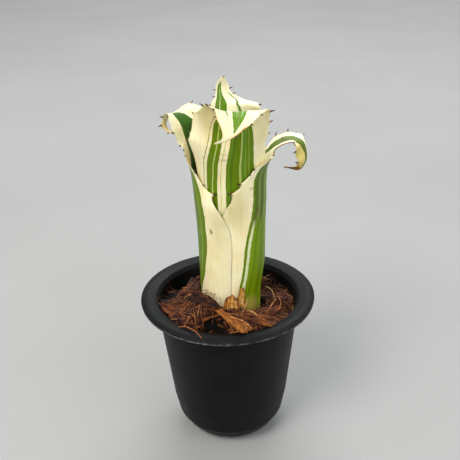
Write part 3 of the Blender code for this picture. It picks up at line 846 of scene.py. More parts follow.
def make_crumbs(finish):
    """Hundreds of small torn bits of husk: squashed balls of 42 faces, each pulled about."""
    draw = np.random.default_rng(17)
    count, rings, sides = CRUMB_COUNT, 7, 7
    share = draw.uniform(0.03, 0.97, count)
    azimuth = draw.uniform(0, 360, count)
    x, y = place_on_coir(azimuth, share)
    size = draw.uniform(0.5, 1.0, count)
    long, wide = size * draw.uniform(1.2, 3.6, count), size * draw.uniform(0.6, 1.9, count)
    axes = joined(long, wide, size * draw.uniform(0.25, 0.6, count)) * MM
    polar = np.linspace(0, np.pi, rings)[:, None]
    turn = full_turn(sides)
    ball = joined(np.cos(polar), np.sin(polar) * np.cos(turn), np.sin(polar) * np.sin(turn))
    pulled = ball[None] * draw.uniform(0.72, 1.25, (count, rings, sides, 1))
    pulled[:, 0] = ball[0]
    pulled[:, -1] = ball[-1]
    grain = pulled * axes[:, None, None]
    spin = draw.uniform(0, 2 * np.pi, count)
    lean = draw.normal(0, 0.35, count)
    c, s, b, t = np.cos(spin), np.sin(spin), np.cos(lean), np.sin(lean)
    turns = np.stack([c * b, -s, c * t, s * b, c, s * t, -t, 0 * t, b], axis=-1).reshape(-1, 3, 3)
    points = np.einsum("nij,nabj->nabi", turns, grain)
    lift = draw.uniform(-0.5, 1.1, count) * MM + 0.4 * axes[:, 2]
    lift = lift - 0.5 * np.maximum(hollowed(x, y), 0)
    centre = joined(x, y, coir_surface(x, y) + lift)
    points = between_walls(points + centre[:, None, None])
    faces = copies(grid_faces(rings, sides, True), count, rings * sides)
    tone = np.clip(draw.beta(1.5, 2.2, count) + 0.25 * (x > 0) * (y < 0), 0, 1)
    values = {"grain": grain, "tone": np.broadcast_to(tone[:, None, None], points.shape[:3])}
    add_piece("husk_crumbs", points, faces, finish, (), values, 0.001 * MM)


def strand_paths(draw, count, share, azimuth, length, lift, steps=11):
    """Curved strands: heading turns evenly along each, and height arches over the coir."""
    x, y = place_on_coir(azimuth, share)
    along = np.linspace(-0.5, 0.5, steps)[None, :] * length[:, None]
    heading = draw.uniform(0, 2 * np.pi, count)[:, None]
    bend = (draw.normal(0, 1, count) * 60)[:, None]
    bend = np.where(np.abs(bend) < 2, 2, bend)
    px = x[:, None] + (np.sin(heading + bend * along) - np.sin(heading)) / bend
    py = y[:, None] - (np.cos(heading + bend * along) - np.cos(heading)) / bend
    arch = draw.uniform(0, 1, count)[:, None] * (1 - (2 * along / length[:, None]) ** 2)
    arch = arch * 0.16 * length[:, None]
    tip = draw.normal(0, 0.16, count)[:, None] * along
    wave = 0.12 * MM * np.sin(along / (0.8 * MM) + 6 * heading)
    dip = hollowed(px, py)
    ground = smooth_coir(px, py) - np.maximum(dip, 1.5 * dip)
    return joined(px, py, ground + lift[:, None] + arch + tip + wave)


def make_strands(finish):
    """Loose fibres all over the coir, finer and denser at the right and the back."""
    draw = np.random.default_rng(29)
    count = STRAND_COUNT
    dense = draw.uniform(0, 1, count) < DENSE_SHARE
    azimuth = np.where(dense, draw.uniform(-70, 120, count), draw.uniform(0, 360, count))
    share = draw.uniform(0.02, 0.98, count)
    length = np.where(dense, draw.uniform(4, 12, count), draw.uniform(4, 17, count)) * MM
    lift = draw.uniform(0.0, 1.9, count) * MM
    paths = strand_paths(draw, count, share, azimuth, length, lift)
    paths = between_walls(paths, over_rim=NECK_RADIUS)
    thickness = draw.uniform(0.05, 0.15, count) * MM
    along = np.linspace(-1, 1, paths.shape[1])
    radii = thickness[:, None] * (1.02 - 0.75 * along[None, :] ** 4)
    points, faces = tubes(paths, radii)
    tone = np.clip(draw.beta(1.7, 1.9, count), 0, 1)
    values = {"tone": np.broadcast_to(tone[:, None, None], points.shape[:3])}
    add_piece("coir_fibres", points, faces, finish, (), values)


# Strands that stand out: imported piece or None, radius (mm), tone, and points x, y (mm) and
# height above the rim (mm)
LONG_STRANDS = [
    ("coir_fibre_1", 0.32, 0.82, [
        (-6.5, -16, 0.6), (-3.5, -19.5, 1.6), (1, -23.5, 1.9), (6, -27, 1.8), (9.5, -30, 0.4),
    ]),
    ("coir_fibre_2", 0.22, 0.9, [(17.5, 13, -6), (19.5, 9, -5), (20.5, 4.5, -4.6), (20.7, 1, -6.2)]),
    ("coir_fibre_3", 0.3, 0.72, [
        (-21, -26.2, -0.6), (-17.5, -28.3, 1), (-14.5, -31, 1.3), (-12.5, -33.6, 1.5), (-10.6, -36, 0.4),
    ]),
    (None, 0.2, 0.75, [(-18, -28, 0.9), (-16.5, -25.5, 2.2), (-15.6, -22.8, 2.9)]),
    (None, 0.2, 0.95, [(8.2, -15.4, 5), (7.6, -16.2, 3.2), (6.6, -17.4, 1.4), (5.6, -18.4, -0.6)]),
    (None, 0.2, 0.95, [(6.6, -17.6, 0.4), (9, -17.4, 0.5), (11.2, -19, 0.2), (12.4, -20.2, -0.8)]),
    (None, 0.22, 0.9, [(31, 9, -7.5), (31.3, 9.8, -3.5), (31.4, 10.2, -0.5)]),
    (None, 0.16, 0.5, [(26.5, 15, -7.5), (27.2, 17, -3.8), (27.8, 18.5, -1.2)]),
    (None, 0.2, 0.6, [(-14, -4, 1.5), (-12, -8.5, 3.2), (-8.5, -13, 2.4), (-7, -17, 0.5)]),
    (None, 0.18, 0.55, [
        (-22, -2, 0.5), (-17, -3.5, 2.6), (-12, -6.5, 3.4), (-7, -12, 2.3), (-1, -16.5, 0.8),
    ]),
    (None, 0.22, 0.7, [(-11, -14, 0.8), (-6, -17.5, 1.5), (0, -19.5, 1), (5, -21.5, 0.6)]),
    (None, 0.2, 0.65, [(0, -20, 0.4), (7, -21, 1.4), (14, -22.5, 1.2), (20, -20.5, -0.8)]),
    (None, 0.2, 0.8, [(16, -18, -0.6), (18.5, -14, 1.2), (20.5, -9, 0.6), (20, -5, -2.5)]),
    (None, 0.18, 0.7, [(20.5, -16, -1.5), (22.5, -11.5, 0.2), (22, -6.5, 0.4), (24.5, -2, -3.5)]),
    (None, 0.18, 0.85, [(1, -31.5, -0.4), (4.5, -32.2, 0.6), (7.5, -33, 0.2)]),
    (None, 0.16, 0.8, [(-8, -21.5, 0.4), (-3, -20.8, 1.2), (3, -20, 1), (8, -22, 0.2)]),
]


def make_long_strands(finish):
    """Each strand follows a smooth curve through its points and thins at both ends."""
    for number, (node, radius, tone, knots) in enumerate(LONG_STRANDS):
        knots = np.array(knots) * MM + np.array([0, 0, RIM_HEIGHT])
        at = np.linspace(0, len(knots) - 1, 30)
        path = through(np.arange(len(knots), dtype=float), knots, at)[None]
        away = np.linspace(-1, 1, 30)[None]
        radii = radius * MM * (1.05 - 0.7 * away**4) * (1 + 0.15 * np.sin(9 * away + number))
        points, faces = tubes(path, radii)
        values = {"tone": np.full(points.shape[:3], tone)}
        name = f"long_strand_{number + 1}"
        add_piece(name, points, faces, finish, [node] if node else (), values)


# Stem


def make_stem(finish):
    """A short turned stem, ringed by leaf scars where leaves have gone."""
    foot = RIM_HEIGHT - PLANT_DEPTH
    width = tube_radius(foot, 3) - 0.5 * LEAF_THICKNESS - 0.3 * MM
    corners = [
        (0, STEM_HIGH),
        (0.6 * width, STEM_HIGH - 1.5 * MM),
        (0.92 * width, STEM_HIGH - 4 * MM),
        (width, foot),
        (0.95 * width, foot - 6 * MM),
        (0.6 * width, STEM_LOW + 6 * MM),
        (0.3 * width, STEM_LOW + MM),
        (0, STEM_LOW),
    ]
    profile = divided(eased(corners, 2.5 * MM, 8), 0.5 * MM)
    turn = full_turn(160)
    radius, height = profile[:, :1], profile[:, 1:]
    scars = 1 - 0.03 * np.abs(np.sin(height / (1.3 * MM) + np.sin(turn))) * (radius > 1e-6)
    lumps = 1 - 0.02 * (1 + rough(turn * 3, height / MM, 1.0, 8))
    points = turned(radius * scars * lumps, height, turn, TUBE_AXIS)
    faces = grid_faces(len(profile), len(turn), True)
    add_piece("ringed_stem", slimmed(points), faces, finish, ["stem"], None, 0.01 * MM)


# Leaves

# Each row: height as a share of the plant's height, how far the midrib stands out of the tube
# (mm), its shift to the b side (mm), the half-widths a and b (mm), the radii of the section on
# the a and b sides (mm, negative where the margin turns back) and the turn about the midrib
# (degrees). The b side is clockwise from the midrib, seen from above. The first row is the foot.
# Teeth: share of the length, height (mm) and reach (mm) of each point of the margin, on a and b.
# Guides, for each face: share of the length and the places across it (-1 to 1) of the three
# lines that stripes follow, at stripe places -0.6, 0 and 0.6.
# Stripes: from which share of the length, and where each starts and its colour.
# Shaded patches (painted shade, and on the right leaf also greyer tissue), marks and aged patches: share
# of the length, place across, length and width (mm), strength.
# Dry edges: from and to which share, on a (-1) or b (1), and how strongly.
LEAVES = {
    "left_leaf": {
        "azimuth": 158, "layer": 0, "dry_tip": 0.985,
        "rows": [
            (None, 0, 0, 27, 24, WRAP, WRAP, 0), (0.17, 0, 0, 27, 24, WRAP, WRAP, 0),
            (0.39, 0, 0, 27, 24, WRAP, WRAP, 0), (0.5, 0.4, 0, 22.5, 23, WRAP, WRAP, 0),
            (0.588, 1.3, -0.2, 14.8, 22, 13.9, 16.3, 3), (0.665, 1.8, 0.5, 11.2, 21, 20.7, 16, -2),
            (0.741, 3.7, 0.5, 10, 19.9, 26.6, 15.3, 2), (0.811, 4.6, -0.4, 9.2, 16, 90, 16.3, -4),
            (0.85, 8, 0.1, 7.6, 9.6, 68, 25, 7), (0.846, 10.4, -0.2, 4, 4.8, 24, 25, 10),
            (0.826, 12.2, -0.4, 1.9, 2.6, 12, 12, 6), (0.798, 12.6, -0.9, 1.4, 1.5, 4, 4, 6),
            (0.774, 11.2, -0.9, 1.1, 1.1, 3, 3, 0), (0.767, 8.6, -1, 0.4, 0.4, 3, 3, 0),
        ],
        "teeth_a": [
            (0.606, 3, 1), (0.633, 0.4, 1), (0.674, 1, 1.9), (0.733, 0.8, 1.5), (0.761, 1.1, 1.4),
            (0.795, 0.8, 1.4), (0.832, 1.1, 1.4), (0.877, 0.7, 1.1), (0.919, 0.9, 1), (0.95, 0.7, 0.9),
            (0.981, 0.4, 0.7),
        ],
        "teeth_b": [
            (0.602, 0.6, 1.4), (0.654, 0.7, 1.6), (0.706, 0.7, 1.5), (0.763, 0.8, 1.6), (0.811, 0.8, 1.4),
            (0.844, 0.6, 1), (0.877, 2.2, 1.7), (0.906, 0.4, 0.7), (0.93, 0.5, 0.7), (0.955, 0.4, 0.7),
        ],
        "outside_guides": [
            (0, -0.1, 0.2, 0.55), (0.168, -0.32, 0.1, 0.55), (0.224, -0.42, 0.06, 0.55),
            (0.277, -0.52, 0, 0.55), (0.337, -0.555, -0.02, 0.55), (0.385, -0.585, -0.03, 0.52),
            (0.468, -0.6, -0.05, 0.5), (0.529, -0.675, -0.1, 0.48), (0.616, -0.8, -0.15, 0.45),
            (0.675, -0.92, -0.2, 0.4), (1, -0.95, -0.25, 0.3),
        ],
        "outside_stripes": [
            (0, [
                (-1, "cream"), (-0.6, "olive"), (-0.5, "mist"), (-0.455, "olive"), (-0.3, "deep"),
                (-0.22, "olive"), (-0.16, "pale"), (-0.12, "mist"), (-0.02, "olive"), (0.16, "pale"),
                (0.2, "olive"), (0.42, "cream"), (0.48, "deep"), (0.51, "cream"),
            ]),
            (0.8, [
                (-1, "cream"), (-0.3, "olive"), (-0.16, "pale"), (-0.12, "mist"), (-0.02, "olive"),
                (0.2, "cream"),
            ]),
            (0.845, [(-1, "cream"), (0, "straw"), (0.12, "cream")]),
        ],
        "inside_guides": [
            (0, -0.42, 0.06, 0.55), (0.623, -0.42, 0, 0.45), (0.727, -0.25, 0.03, 0.34),
            (0.759, -0.245, 0.04, 0.32), (0.789, -0.26, 0.02, 0.31), (0.816, -0.285, 0.01, 0.31),
            (0.831, -0.275, 0.02, 0.325), (0.847, -0.3, 0.02, 0.335), (0.864, -0.41, -0.05, 0.315),
            (0.876, -0.42, -0.1, 0.19), (0.889, -0.35, -0.2, -0.02), (0.902, -0.15, -0.15, -0.15),
            (1, -0.15, -0.15, -0.15),
        ],
        "inside_stripes": [
            (0, [
                (-1, "cream"), (-0.6, "bottle"), (-0.18, "dark"), (-0.12, "bottle"), (0.52, "dark"),
                (0.6, "cream"), (0.705, "pale"), (0.722, "cream"),
            ]),
            (0.905, [(-1, "cream"), (-0.15, "cream")]),
        ],
        "shaded": [(0.47, -0.85, 9, 4, 0.5)],
        "marks": [
            (0.464, -0.685, 0.7, 0.5, 1), (0.472, -0.7, 0.5, 0.35, 0.8), (0.519, -0.66, 0.5, 0.4, 0.3),
        ],
        "aged": [(0.165, -0.95, 3, 4, 0.35), (0.976, 0, 6, 3, 0.1)],
        "dry_edges": [(0.935, 1, 1, 0.25), (0.935, 1, -1, 0.35)],
    },
    "right_leaf": {
        "azimuth": 8, "layer": 1, "dry_tip": 0.935,
        "rows": [
            (None, 0, 0, 24, 28, WRAP, WRAP, 0), (0.17, 0, 0, 24, 29, WRAP, WRAP, 0),
            (0.39, 0, 0, 22, 29, WRAP, WRAP, 0), (0.5, 0.2, 0, 17, 26, WRAP, WRAP, 0),
            (0.577, 0, -0.1, 13.2, 21.9, 13.8, 14.1, 2), (0.643, 0.8, 0.1, 7.8, 16.8, 19, 18.2, -4),
            (0.715, 3.8, 0.2, 5.2, 8.3, 23.2, 42.6, -2), (0.737, 6.7, 1.4, 5.5, 7.1, 18.9, 14.6, 0),
            (0.742, 11.5, 1.2, 3.6, 4.1, 20.1, 22.4, 14), (0.733, 13.9, 2.3, 4.7, 5.4, -8.1, 34.3, 34),
            (0.691, 15.5, 3.2, 3.2, 5.1, -3.5, -11.8, 50), (0.645, 15.4, 3.8, 2.1, 4.4, -3.5, -12.1, 43),
            (0.621, 13.9, 3.4, 2.4, 3.3, -6.2, -11.6, 50), (0.623, 7.1, 2.4, 0.4, 0.4, 12, 12, 0),
        ],
        "teeth_a": [
            (0.53, 0.5, 1.2), (0.58, 0.7, 1.5), (0.635, 0.8, 1.5), (0.693, 1, 1.2), (0.744, 1.2, 1.3),
            (0.803, 1.2, 1.3), (0.832, 1.2, 1), (0.863, 0.5, 0.8), (0.893, 0.6, 0.8), (0.941, 0.5, 0.8),
        ],
        "teeth_b": [
            (0.58, 0.4, 1), (0.606, 2.2, 1.1), (0.639, 1.6, 1.3), (0.663, 0.4, 0.8), (0.676, 1.1, 0.9),
            (0.706, 0.7, 0.7), (0.727, 0.6, 0.7), (0.757, 0.5, 0.6), (0.79, 0.3, 0.5), (0.857, 0.7, 0.8),
            (0.919, 0.6, 0.8), (0.945, 0.4, 0.6),
        ],
        "outside_guides": [
            (0, -0.5, 0.1, 0.69), (0.23, -0.5, 0.1, 0.69), (0.28, -0.5, 0.1, 0.665),
            (0.385, -0.5, 0.06, 0.615), (0.475, -0.5, 0.05, 0.57), (0.5, -0.5, 0.04, 0.555),
            (0.535, -0.5, 0.05, 0.56), (0.579, -0.5, 0.05, 0.61), (0.61, -0.5, 0.08, 0.69),
            (0.645, -0.55, 0.08, 0.8), (0.681, -0.6, 0.08, 0.865), (0.74, -0.6, 0, 0.6),
            (0.8, -0.6, -0.1, 0.3), (1, -0.6, -0.2, 0.2),
        ],
        "outside_stripes": [
            (0, [
                (-1, "cream"), (-0.6, "deep"), (-0.42, "mist"), (-0.37, "olive"), (-0.15, "mist"),
                (-0.1, "olive"), (0.1, "lime"), (0.22, "olive"), (0.3, "lime"), (0.4, "olive"),
                (0.43, "lime"), (0.5, "white"), (0.545, "olive"), (0.59, "cream"),
            ]),
            (0.482, [
                (-1, "cream"), (-0.6, "olive"), (-0.37, "sage"), (-0.15, "mist"), (-0.1, "sage"),
                (0.1, "moss"), (0.17, "sage"), (0.26, "mist"), (0.31, "moss"), (0.42, "sage"),
                (0.48, "moss"), (0.55, "olive"), (0.6, "cream"),
            ]),
        ],
        "inside_guides": [
            (0, -0.5, 0, 0.5), (0.62, -0.6, 0, 0.5), (0.66, -0.85, -0.5, -0.2),
            (0.693, -0.95, -0.8, -0.65), (0.708, -0.8, -0.55, -0.25), (0.722, -0.67, -0.35, 0.09),
            (0.754, -0.52, -0.15, 0.3), (0.785, -0.6, -0.15, 0.32), (0.804, -0.6, -0.12, 0.4),
            (0.824, -0.3, 0.1, 0.5), (0.84, -0.2, 0.1, 0.42), (0.856, -0.25, 0.08, 0.34),
            (0.88, -0.3, 0.02, 0.15), (0.905, -0.3, 0.02, 0.17), (1, -0.3, 0, 0.1),
        ],
        # The palest cream on this face is painted light on tissue that lies in shade
        "inside_stripes": [
            (0, [
                (-1, "lit cream"), (-0.6, "moss"), (-0.42, "sage"), (-0.22, "moss"), (0.12, "sage"),
                (0.22, "moss"), (0.52, "sage"), (0.6, "lit cream"),
            ]),
            (0.83, [
                (-1, "lit cream"), (-0.6, "moss"), (-0.2, "sage"), (0, "moss"), (0.52, "sage"), (0.6, "straw"),
            ]),
        ],
        "shaded": [(0.54, 0.82, 9, 4.5, 0.7)],
        "marks": [
            (0.62, 0.755, 0.6, 0.35, 0.8), (0.533, 0.475, 0.9, 0.5, 0.8), (0.6, 0.62, 1, 0.4, 0.5),
            (0.776, -0.35, 0.5, 2.2, 0.8), (0.783, 0.1, 0.4, 1.6, 0.7), (0.728, 0.9, 1.8, 0.9, 1),
            (0.755, 0.92, 1.3, 0.7, 0.9),
        ],
        "aged": [(0.12, 0.5, 7, 5.5, 0.4), (0.11, 0.1, 5, 7, 0.2)],
        "dry_edges": [
            (0.725, 0.83, 1, 0.95), (0.69, 0.725, 1, 0.4), (0.83, 0.93, 1, 0.35), (0.72, 0.8, -1, 0.25),
        ],
    },
    "front_leaf": {
        "azimuth": -86, "layer": 2, "dry_tip": 0.99,
        "rows": [
            (None, 0, 0, 21, 21, WRAP, WRAP, 0), (0.17, 0, 0, 22, 22, WRAP, WRAP, 0),
            (0.39, 0, 0, 23, 23, WRAP, WRAP, 0), (0.52, 0.2, 0, 23, 23, WRAP, WRAP, 0),
            (0.63, 1, 0.2, 21.5, 22.6, WRAP, WRAP, 0), (0.778, 3.8, 0, 17.3, 20.8, 14.3, 18, 0),
            (0.894, 3.7, -0.5, 13, 17, 30.5, 16, 0), (0.929, 4.2, -0.7, 10.7, 11.2, 200, 20.1, 0),
            (0.917, 6.7, -0.4, 7.7, 8.3, 27.4, 13.2, 0), (0.88, 10, 1.3, 3, 6.2, 12.7, 14.3, 0),
            (0.844, 11.1, 4.5, 1.1, 0.8, 12.1, 12, 0), (0.824, 10.2, 8.1, 0.4, 0.4, 12, 12, 0),
        ],
        "teeth_a": [
            (0.6, 0.5, 1.2), (0.66, 0.7, 1.6), (0.715, 0.8, 1.6), (0.77, 0.9, 1.6), (0.815, 1, 1.4),
            (0.854, 1.8, 1.5), (0.877, 0.5, 0.7), (0.899, 0.5, 0.7), (0.937, 0.3, 0.7),
        ],
        "teeth_b": [
            (0.61, 0.5, 1.2), (0.665, 0.7, 1.6), (0.72, 0.7, 1.6), (0.765, 0.8, 1.5), (0.8, 0.6, 1.2),
            (0.822, 0.9, 1.1), (0.858, 0.8, 1.2), (0.866, 0.6, 0.5), (0.885, 0.6, 0.7), (0.91, 0.3, 0.7),
        ],
        "outside_guides": [
            (0, -0.41, 0.08, 0.58), (0.55, -0.41, 0.08, 0.58), (0.68, -0.41, 0.07, 0.55),
            (0.79, -0.46, 0, 0.47), (0.84, -0.42, 0.02, 0.47), (0.877, -0.4, 0, 0.3), (1, -0.4, 0, 0.2),
        ],
        "outside_stripes": [
            (0, [
                (-1, "cream"), (-0.6, "olive"), (-0.475, "mist"), (-0.431, "olive"), (-0.375, "mist"),
                (-0.344, "leaf green"), (-0.2625, "pale"), (-0.215, "olive"), (-0.06, "deep"),
                (0, "leaf green"), (0.03, "olive"), (0.075, "cream"), (0.165, "pale"), (0.187, "cream"),
                (0.256, "olive"), (0.35, "pale"), (0.38, "olive"), (0.5125, "cream"), (0.582, "olive"),
                (0.6, "cream"),
            ]),
        ],
        "inside_guides": [
            (0, -0.41, 0.085, 0.58), (0.8, -0.42, -0.06, 0.3), (0.862, -0.39, -0.13, 0.13),
            (0.89, -0.435, -0.15, 0.13), (0.915, -0.47, -0.24, 0), (0.936, -0.56, -0.56, -0.56),
            (1, -0.58, -0.58, -0.58),
        ],
        "inside_stripes": [
            (0, [
                (-1, "cream"), (-0.6, "leaf green"), (-0.3, "mint"), (-0.24, "leaf green"), (0, "sage"),
                (0.1, "leaf green"), (0.18, "mint"), (0.22, "leaf green"), (0.6, "cream"),
                (0.68, "leaf green"), (0.712, "cream"),
            ]),
            (0.886, [
                (-1, "cream"), (-0.6, "leaf green"), (-0.2, "sage"), (0, "leaf green"), (0.6, "cream"),
            ]),
            (0.938, [(-1, "cream"), (-0.55, "cream")]),
        ],
        "shaded": [(0.83, 0.6, 6, 6, 0.8), (0.8, -0.8, 9, 4, 0.25)],
        "marks": [(0.7, 0.2, 0.7, 2.4, 0.25), (0.72, 0.19, 0.5, 1.6, 0.2), (0.62, -0.2, 0.4, 0.4, 0.4)],
        "aged": [(0.95, 0.2, 4, 2.5, 0.08), (0.7, 0.2, 1, 2.4, 0.12)],
        "dry_edges": [(0.9, 1, 1, 0.4), (0.9, 1, -1, 0.5), (0.8, 0.88, -1, 0.15)],
    },
    "back_leaf": {
        "azimuth": 106, "layer": 3, "dry_tip": 0.99,
        "rows": [
            (None, 0, 0, 19, 19, WRAP, WRAP, 0), (0.17, 0, 0, 20, 20, WRAP, WRAP, 0),
            (0.39, 0, 0, 20, 20, WRAP, WRAP, 0), (0.63, 0.75, -0.4, 18, 19, WRAP, WRAP, 0),
            (0.76, 1.6, -0.3, 15.5, 18.5, 14, 15, 0), (0.837, 1.1, 0.3, 9.2, 18, 12.1, 16.9, 0),
            (0.877, 1.2, 0.3, 4.7, 17, 9.9, 12.5, 0), (0.898, 1.6, 0.5, 3.1, 8.4, 10, 24.7, 0),
            (0.967, 1.3, 0.5, 1.7, 3, 10, 16, 0), (1, -0.2, 1.5, 0.4, 0.4, 14, 16, 0),
        ],
        "teeth_a": [
            (0.66, 0.5, 1.3), (0.72, 0.7, 1.6), (0.78, 0.8, 1.6), (0.84, 0.8, 1.4), (0.889, 0.5, 1),
            (0.917, 0.4, 0.8), (0.945, 0.3, 0.8),
        ],
        "teeth_b": [
            (0.67, 0.6, 1.4), (0.73, 0.7, 1.6), (0.79, 0.8, 1.6), (0.84, 0.8, 1.4), (0.873, 0.6, 1),
            (0.892, 1.6, 1.2), (0.923, 0.5, 0.8), (0.944, 0.5, 0.8),
        ],
        "outside_guides": [
            (0, -0.4, 0.05, 0.48), (0.8, -0.4, 0.05, 0.48), (0.9, -0.43, 0.03, 0.4), (0.95, -0.5, 0, 0.2),
            (1, -0.5, 0, 0.1),
        ],
        "outside_stripes": [
            (0, [
                (-1, "cream"), (-0.6, "olive"), (-0.3, "cream"), (-0.25, "olive"), (0.09, "cream"),
                (0.2, "mist"), (0.24, "cream"), (0.49, "olive"), (0.54, "cream"),
            ]),
        ],
        "inside_guides": [
            (0, -0.4, 0.05, 0.48), (0.8, -0.42, 0.1, 0.46), (0.86, -0.436, 0.12, 0.466),
            (0.872, -0.447, 0.123, 0.42), (0.88, -0.498, 0.124, 0.398), (0.887, -0.539, 0.128, 0.385),
            (0.893, -0.57, 0.135, 0.434), (0.9, -0.614, 0.151, 0.522), (0.907, -0.665, 0.168, 0.685),
            (0.914, -0.741, 0.156, 0.738), (0.92, -0.765, 0.129, 0.799), (0.926, -0.773, 0.104, 0.813),
            (0.95, -0.634, 0.077, 0.683), (0.962, -0.549, 0.088, 0.781), (0.976, -0.281, -0.05, 0.74),
            (0.984, -0.2, -0.2, 0.74), (1, -0.2, -0.2, 0.8),
        ],
        # The palest cream on this face is painted light on tissue that lies in shade
        "inside_stripes": [
            (0, [
                (-1, "lit cream"), (-0.6, "leaf green"), (-0.48, "sage"), (-0.44, "leaf green"),
                (-0.265, "white"), (-0.2, "leaf green"), (0, "lit cream"), (0.49, "leaf green"),
                (0.6, "lit cream"),
            ]),
            (0.895, [
                (-1, "lit cream"), (-0.6, "leaf green"), (-0.265, "white"), (-0.2, "leaf green"), (0, "lit cream"),
                (0.53, "leaf green"), (0.6, "lit cream"),
            ]),
            (0.93, [
                (-1, "lit cream"), (-0.6, "leaf green"), (-0.28, "white"), (-0.19, "leaf green"), (0, "lit cream"),
            ]),
            (0.984, [(-1, "lit cream"), (-0.2, "lit cream")]),
        ],
        "shaded": [(0.7, 0, 8, 6, 0.3)],
        "marks": [],
        "aged": [],
        "dry_edges": [],
    },
}

LEAF_ROWS = 380
LEAF_COLUMNS = 61
TOOTHED_BAND = 0.25  # share of the half-width that the teeth pull out
PRESSED = (1.12, 0.3)  # mm that wrapped margins are pressed in, on a and b
WRAPPED_UP_TO = 0.48  # share of the length along which margins lie on the leaf inside
WRAPPED_FADE = 0.08  # share over which they come away from it
TIP_FROM = 0.985  # share from which the outline is rounded off


def leaf_table(rows, layer):
    """The rows in metres and radians: radius, height, shift, widths, curvatures, turn."""
    table = []
    for share, out, side, wide_a, wide_b, bend_a, bend_b, turn in rows:
        height = RIM_HEIGHT + (-PLANT_DEPTH if share is None else share * PLANT_HEIGHT)
        radius = tube_radius(height, layer) + out * MM
        curve_a = 1 / (bend_a * MM) if bend_a else 1 / radius
        curve_b = 1 / (bend_b * MM) if bend_b else 1 / radius
        sides = (side * MM, wide_a * MM, wide_b * MM)
        table.append((radius, height, *sides, curve_a, curve_b, np.radians(turn)))
    return np.array(table)


def cusps(teeth, share, length):
    """How far the margin stands out: a sharp point at each tooth, easing off on both sides."""
    places, heights, reaches = np.array(teeth).T
    away = np.abs(share[:, None] - places) * length
    return (heights * MM * np.exp(-away / (reaches * MM))).max(axis=1)


def slimmed(points):
    """Points at the tube's foot drawn in towards its left side, by a share eased in with depth."""
    depth = rising(RIM_HEIGHT + FOOT_SLIM_HEIGHT - points[..., 2], 0, FOOT_SLIM_HEIGHT)
    left = TUBE_AXIS[0] - TUBE_RADIUS
    kept = points.copy()
    kept[..., 0] = left + (points[..., 0] - left) * (1 - FOOT_SLIMMING * depth**2 * (3 - 2 * depth))
    return kept


def wrapped(share):
    """1 where the leaf wraps the tube, down to 0 where it has come away from it."""
    return 1 - rising(share, WRAPPED_UP_TO, WRAPPED_FADE)[:, None]


def leaf_sheet(leaf, share, across):
    """Points of a leaf's middle sheet, along by across, its length and the place x across it.

    The midrib M runs in the upright plane at the azimuth. T is its direction, B the level
    direction across it and N = B x T faces the tube's axis. The section at M is an arc:
    M + B sin(k x) / k + N (1 - cos(k x)) / k, with x across the leaf and k its curvature.
    The margins stand out in small teeth. Lower down they are pressed onto the leaf inside,
    and the free part of the leaf is gently waved.
    """
    table = leaf_table(leaf["rows"], leaf["layer"])
    azimuth = np.radians(leaf["azimuth"])
    outward = np.array([np.cos(azimuth), np.sin(azimuth), 0])
    level = np.array([np.sin(azimuth), -np.cos(azimuth), 0])
    steps = np.linalg.norm(np.diff(table[:, :3], axis=0), axis=1)
    knots = np.concatenate([[0], np.cumsum(steps)])
    length = knots[-1]

    def midrib(at):
        place = through(knots, table[:, :3], at)
        centre = np.array([*TUBE_AXIS, 0])
        upright = place[:, 1:2] * np.array([0, 0, 1])
        return centre + place[:, :1] * outward + upright + place[:, 2:3] * level

    at = share * length
    step = 0.05 * MM
    direction = unit(midrib(np.minimum(at + step, length)) - midrib(np.maximum(at - step, 0)))
    normal = unit(np.cross(level, direction))
    side = np.cross(direction, normal)
    wide_a, wide_b, curve_a, curve_b, turn = through(knots, table, at)[:, 3:].T[:, :, None]
    normal, side = (
        normal * np.cos(turn) + side * np.sin(turn),
        side * np.cos(turn) - normal * np.sin(turn),
    )
    point = np.sqrt(1 - rising(share, TIP_FROM, 1 - TIP_FROM) ** 2)[:, None]
    edge_a = (wide_a + cusps(leaf["teeth_a"], share, length)[:, None]) * point
    edge_b = (wide_b + cusps(leaf["teeth_b"], share, length)[:, None]) * point
    # Teeth pull only the outer band, so that stripes stay even
    inner_share = np.abs(across)
    pull = rising(inner_share, 1 - TOOTHED_BAND, TOOTHED_BAND) ** 2
    width_a = wide_a * point * inner_share + (edge_a - wide_a * point) * pull
    width_b = wide_b * point * inner_share + (edge_b - wide_b * point) * pull
    x = np.where(across < 0, -width_a, width_b)
    curve = np.where(across < 0, curve_a, curve_b)
    sine, cosine = np.sin(curve * x)[..., None], np.cos(curve * x)[..., None]
    normal, along, curve = normal[:, None], side[:, None], curve[..., None]
    arc = sine / curve * along + (1 - cosine) / curve * normal
    # Millimetres towards the axis: waves of the free margins, wrapped margins, and faint ribs
    wave = 0.45 * rough(at[:, None] / MM, 3 * np.sign(across), 4.5, leaf["layer"] + 60)
    wave = wave * rising(share, 0.6, 0.25)[:, None] * inner_share**3
    pressed = np.where(across < 0, *PRESSED) * rising(inner_share, 0.5, 0.5) ** 2
    wave = wave + pressed * wrapped(share)
    wave = wave + 0.05 * np.sin(11 * across + 0.4 * np.sin(at[:, None] / (9 * MM)))
    facing = cosine * normal - sine * along
    points = midrib(at)[:, None] + arc + (wave * MM)[..., None] * facing
    return slimmed(points), length, x


def blemishes(marks, share, across, x, length):
    """The darkest of the marks at each point: each an oval with soft edges."""
    dark = np.zeros((len(share), across.shape[-1]))
    at = share[:, None] * length
    for place, where, long, wide, strength in marks:
        column = np.abs(across[0] - where).argmin()
        middle = x[np.abs(share - place).argmin(), column]
        away = ((at - place * length) / (long * MM)) ** 2 + ((x - middle) / (wide * MM)) ** 2
        dark = np.maximum(dark, strength * np.exp(-(away**1.5)))
    return dark


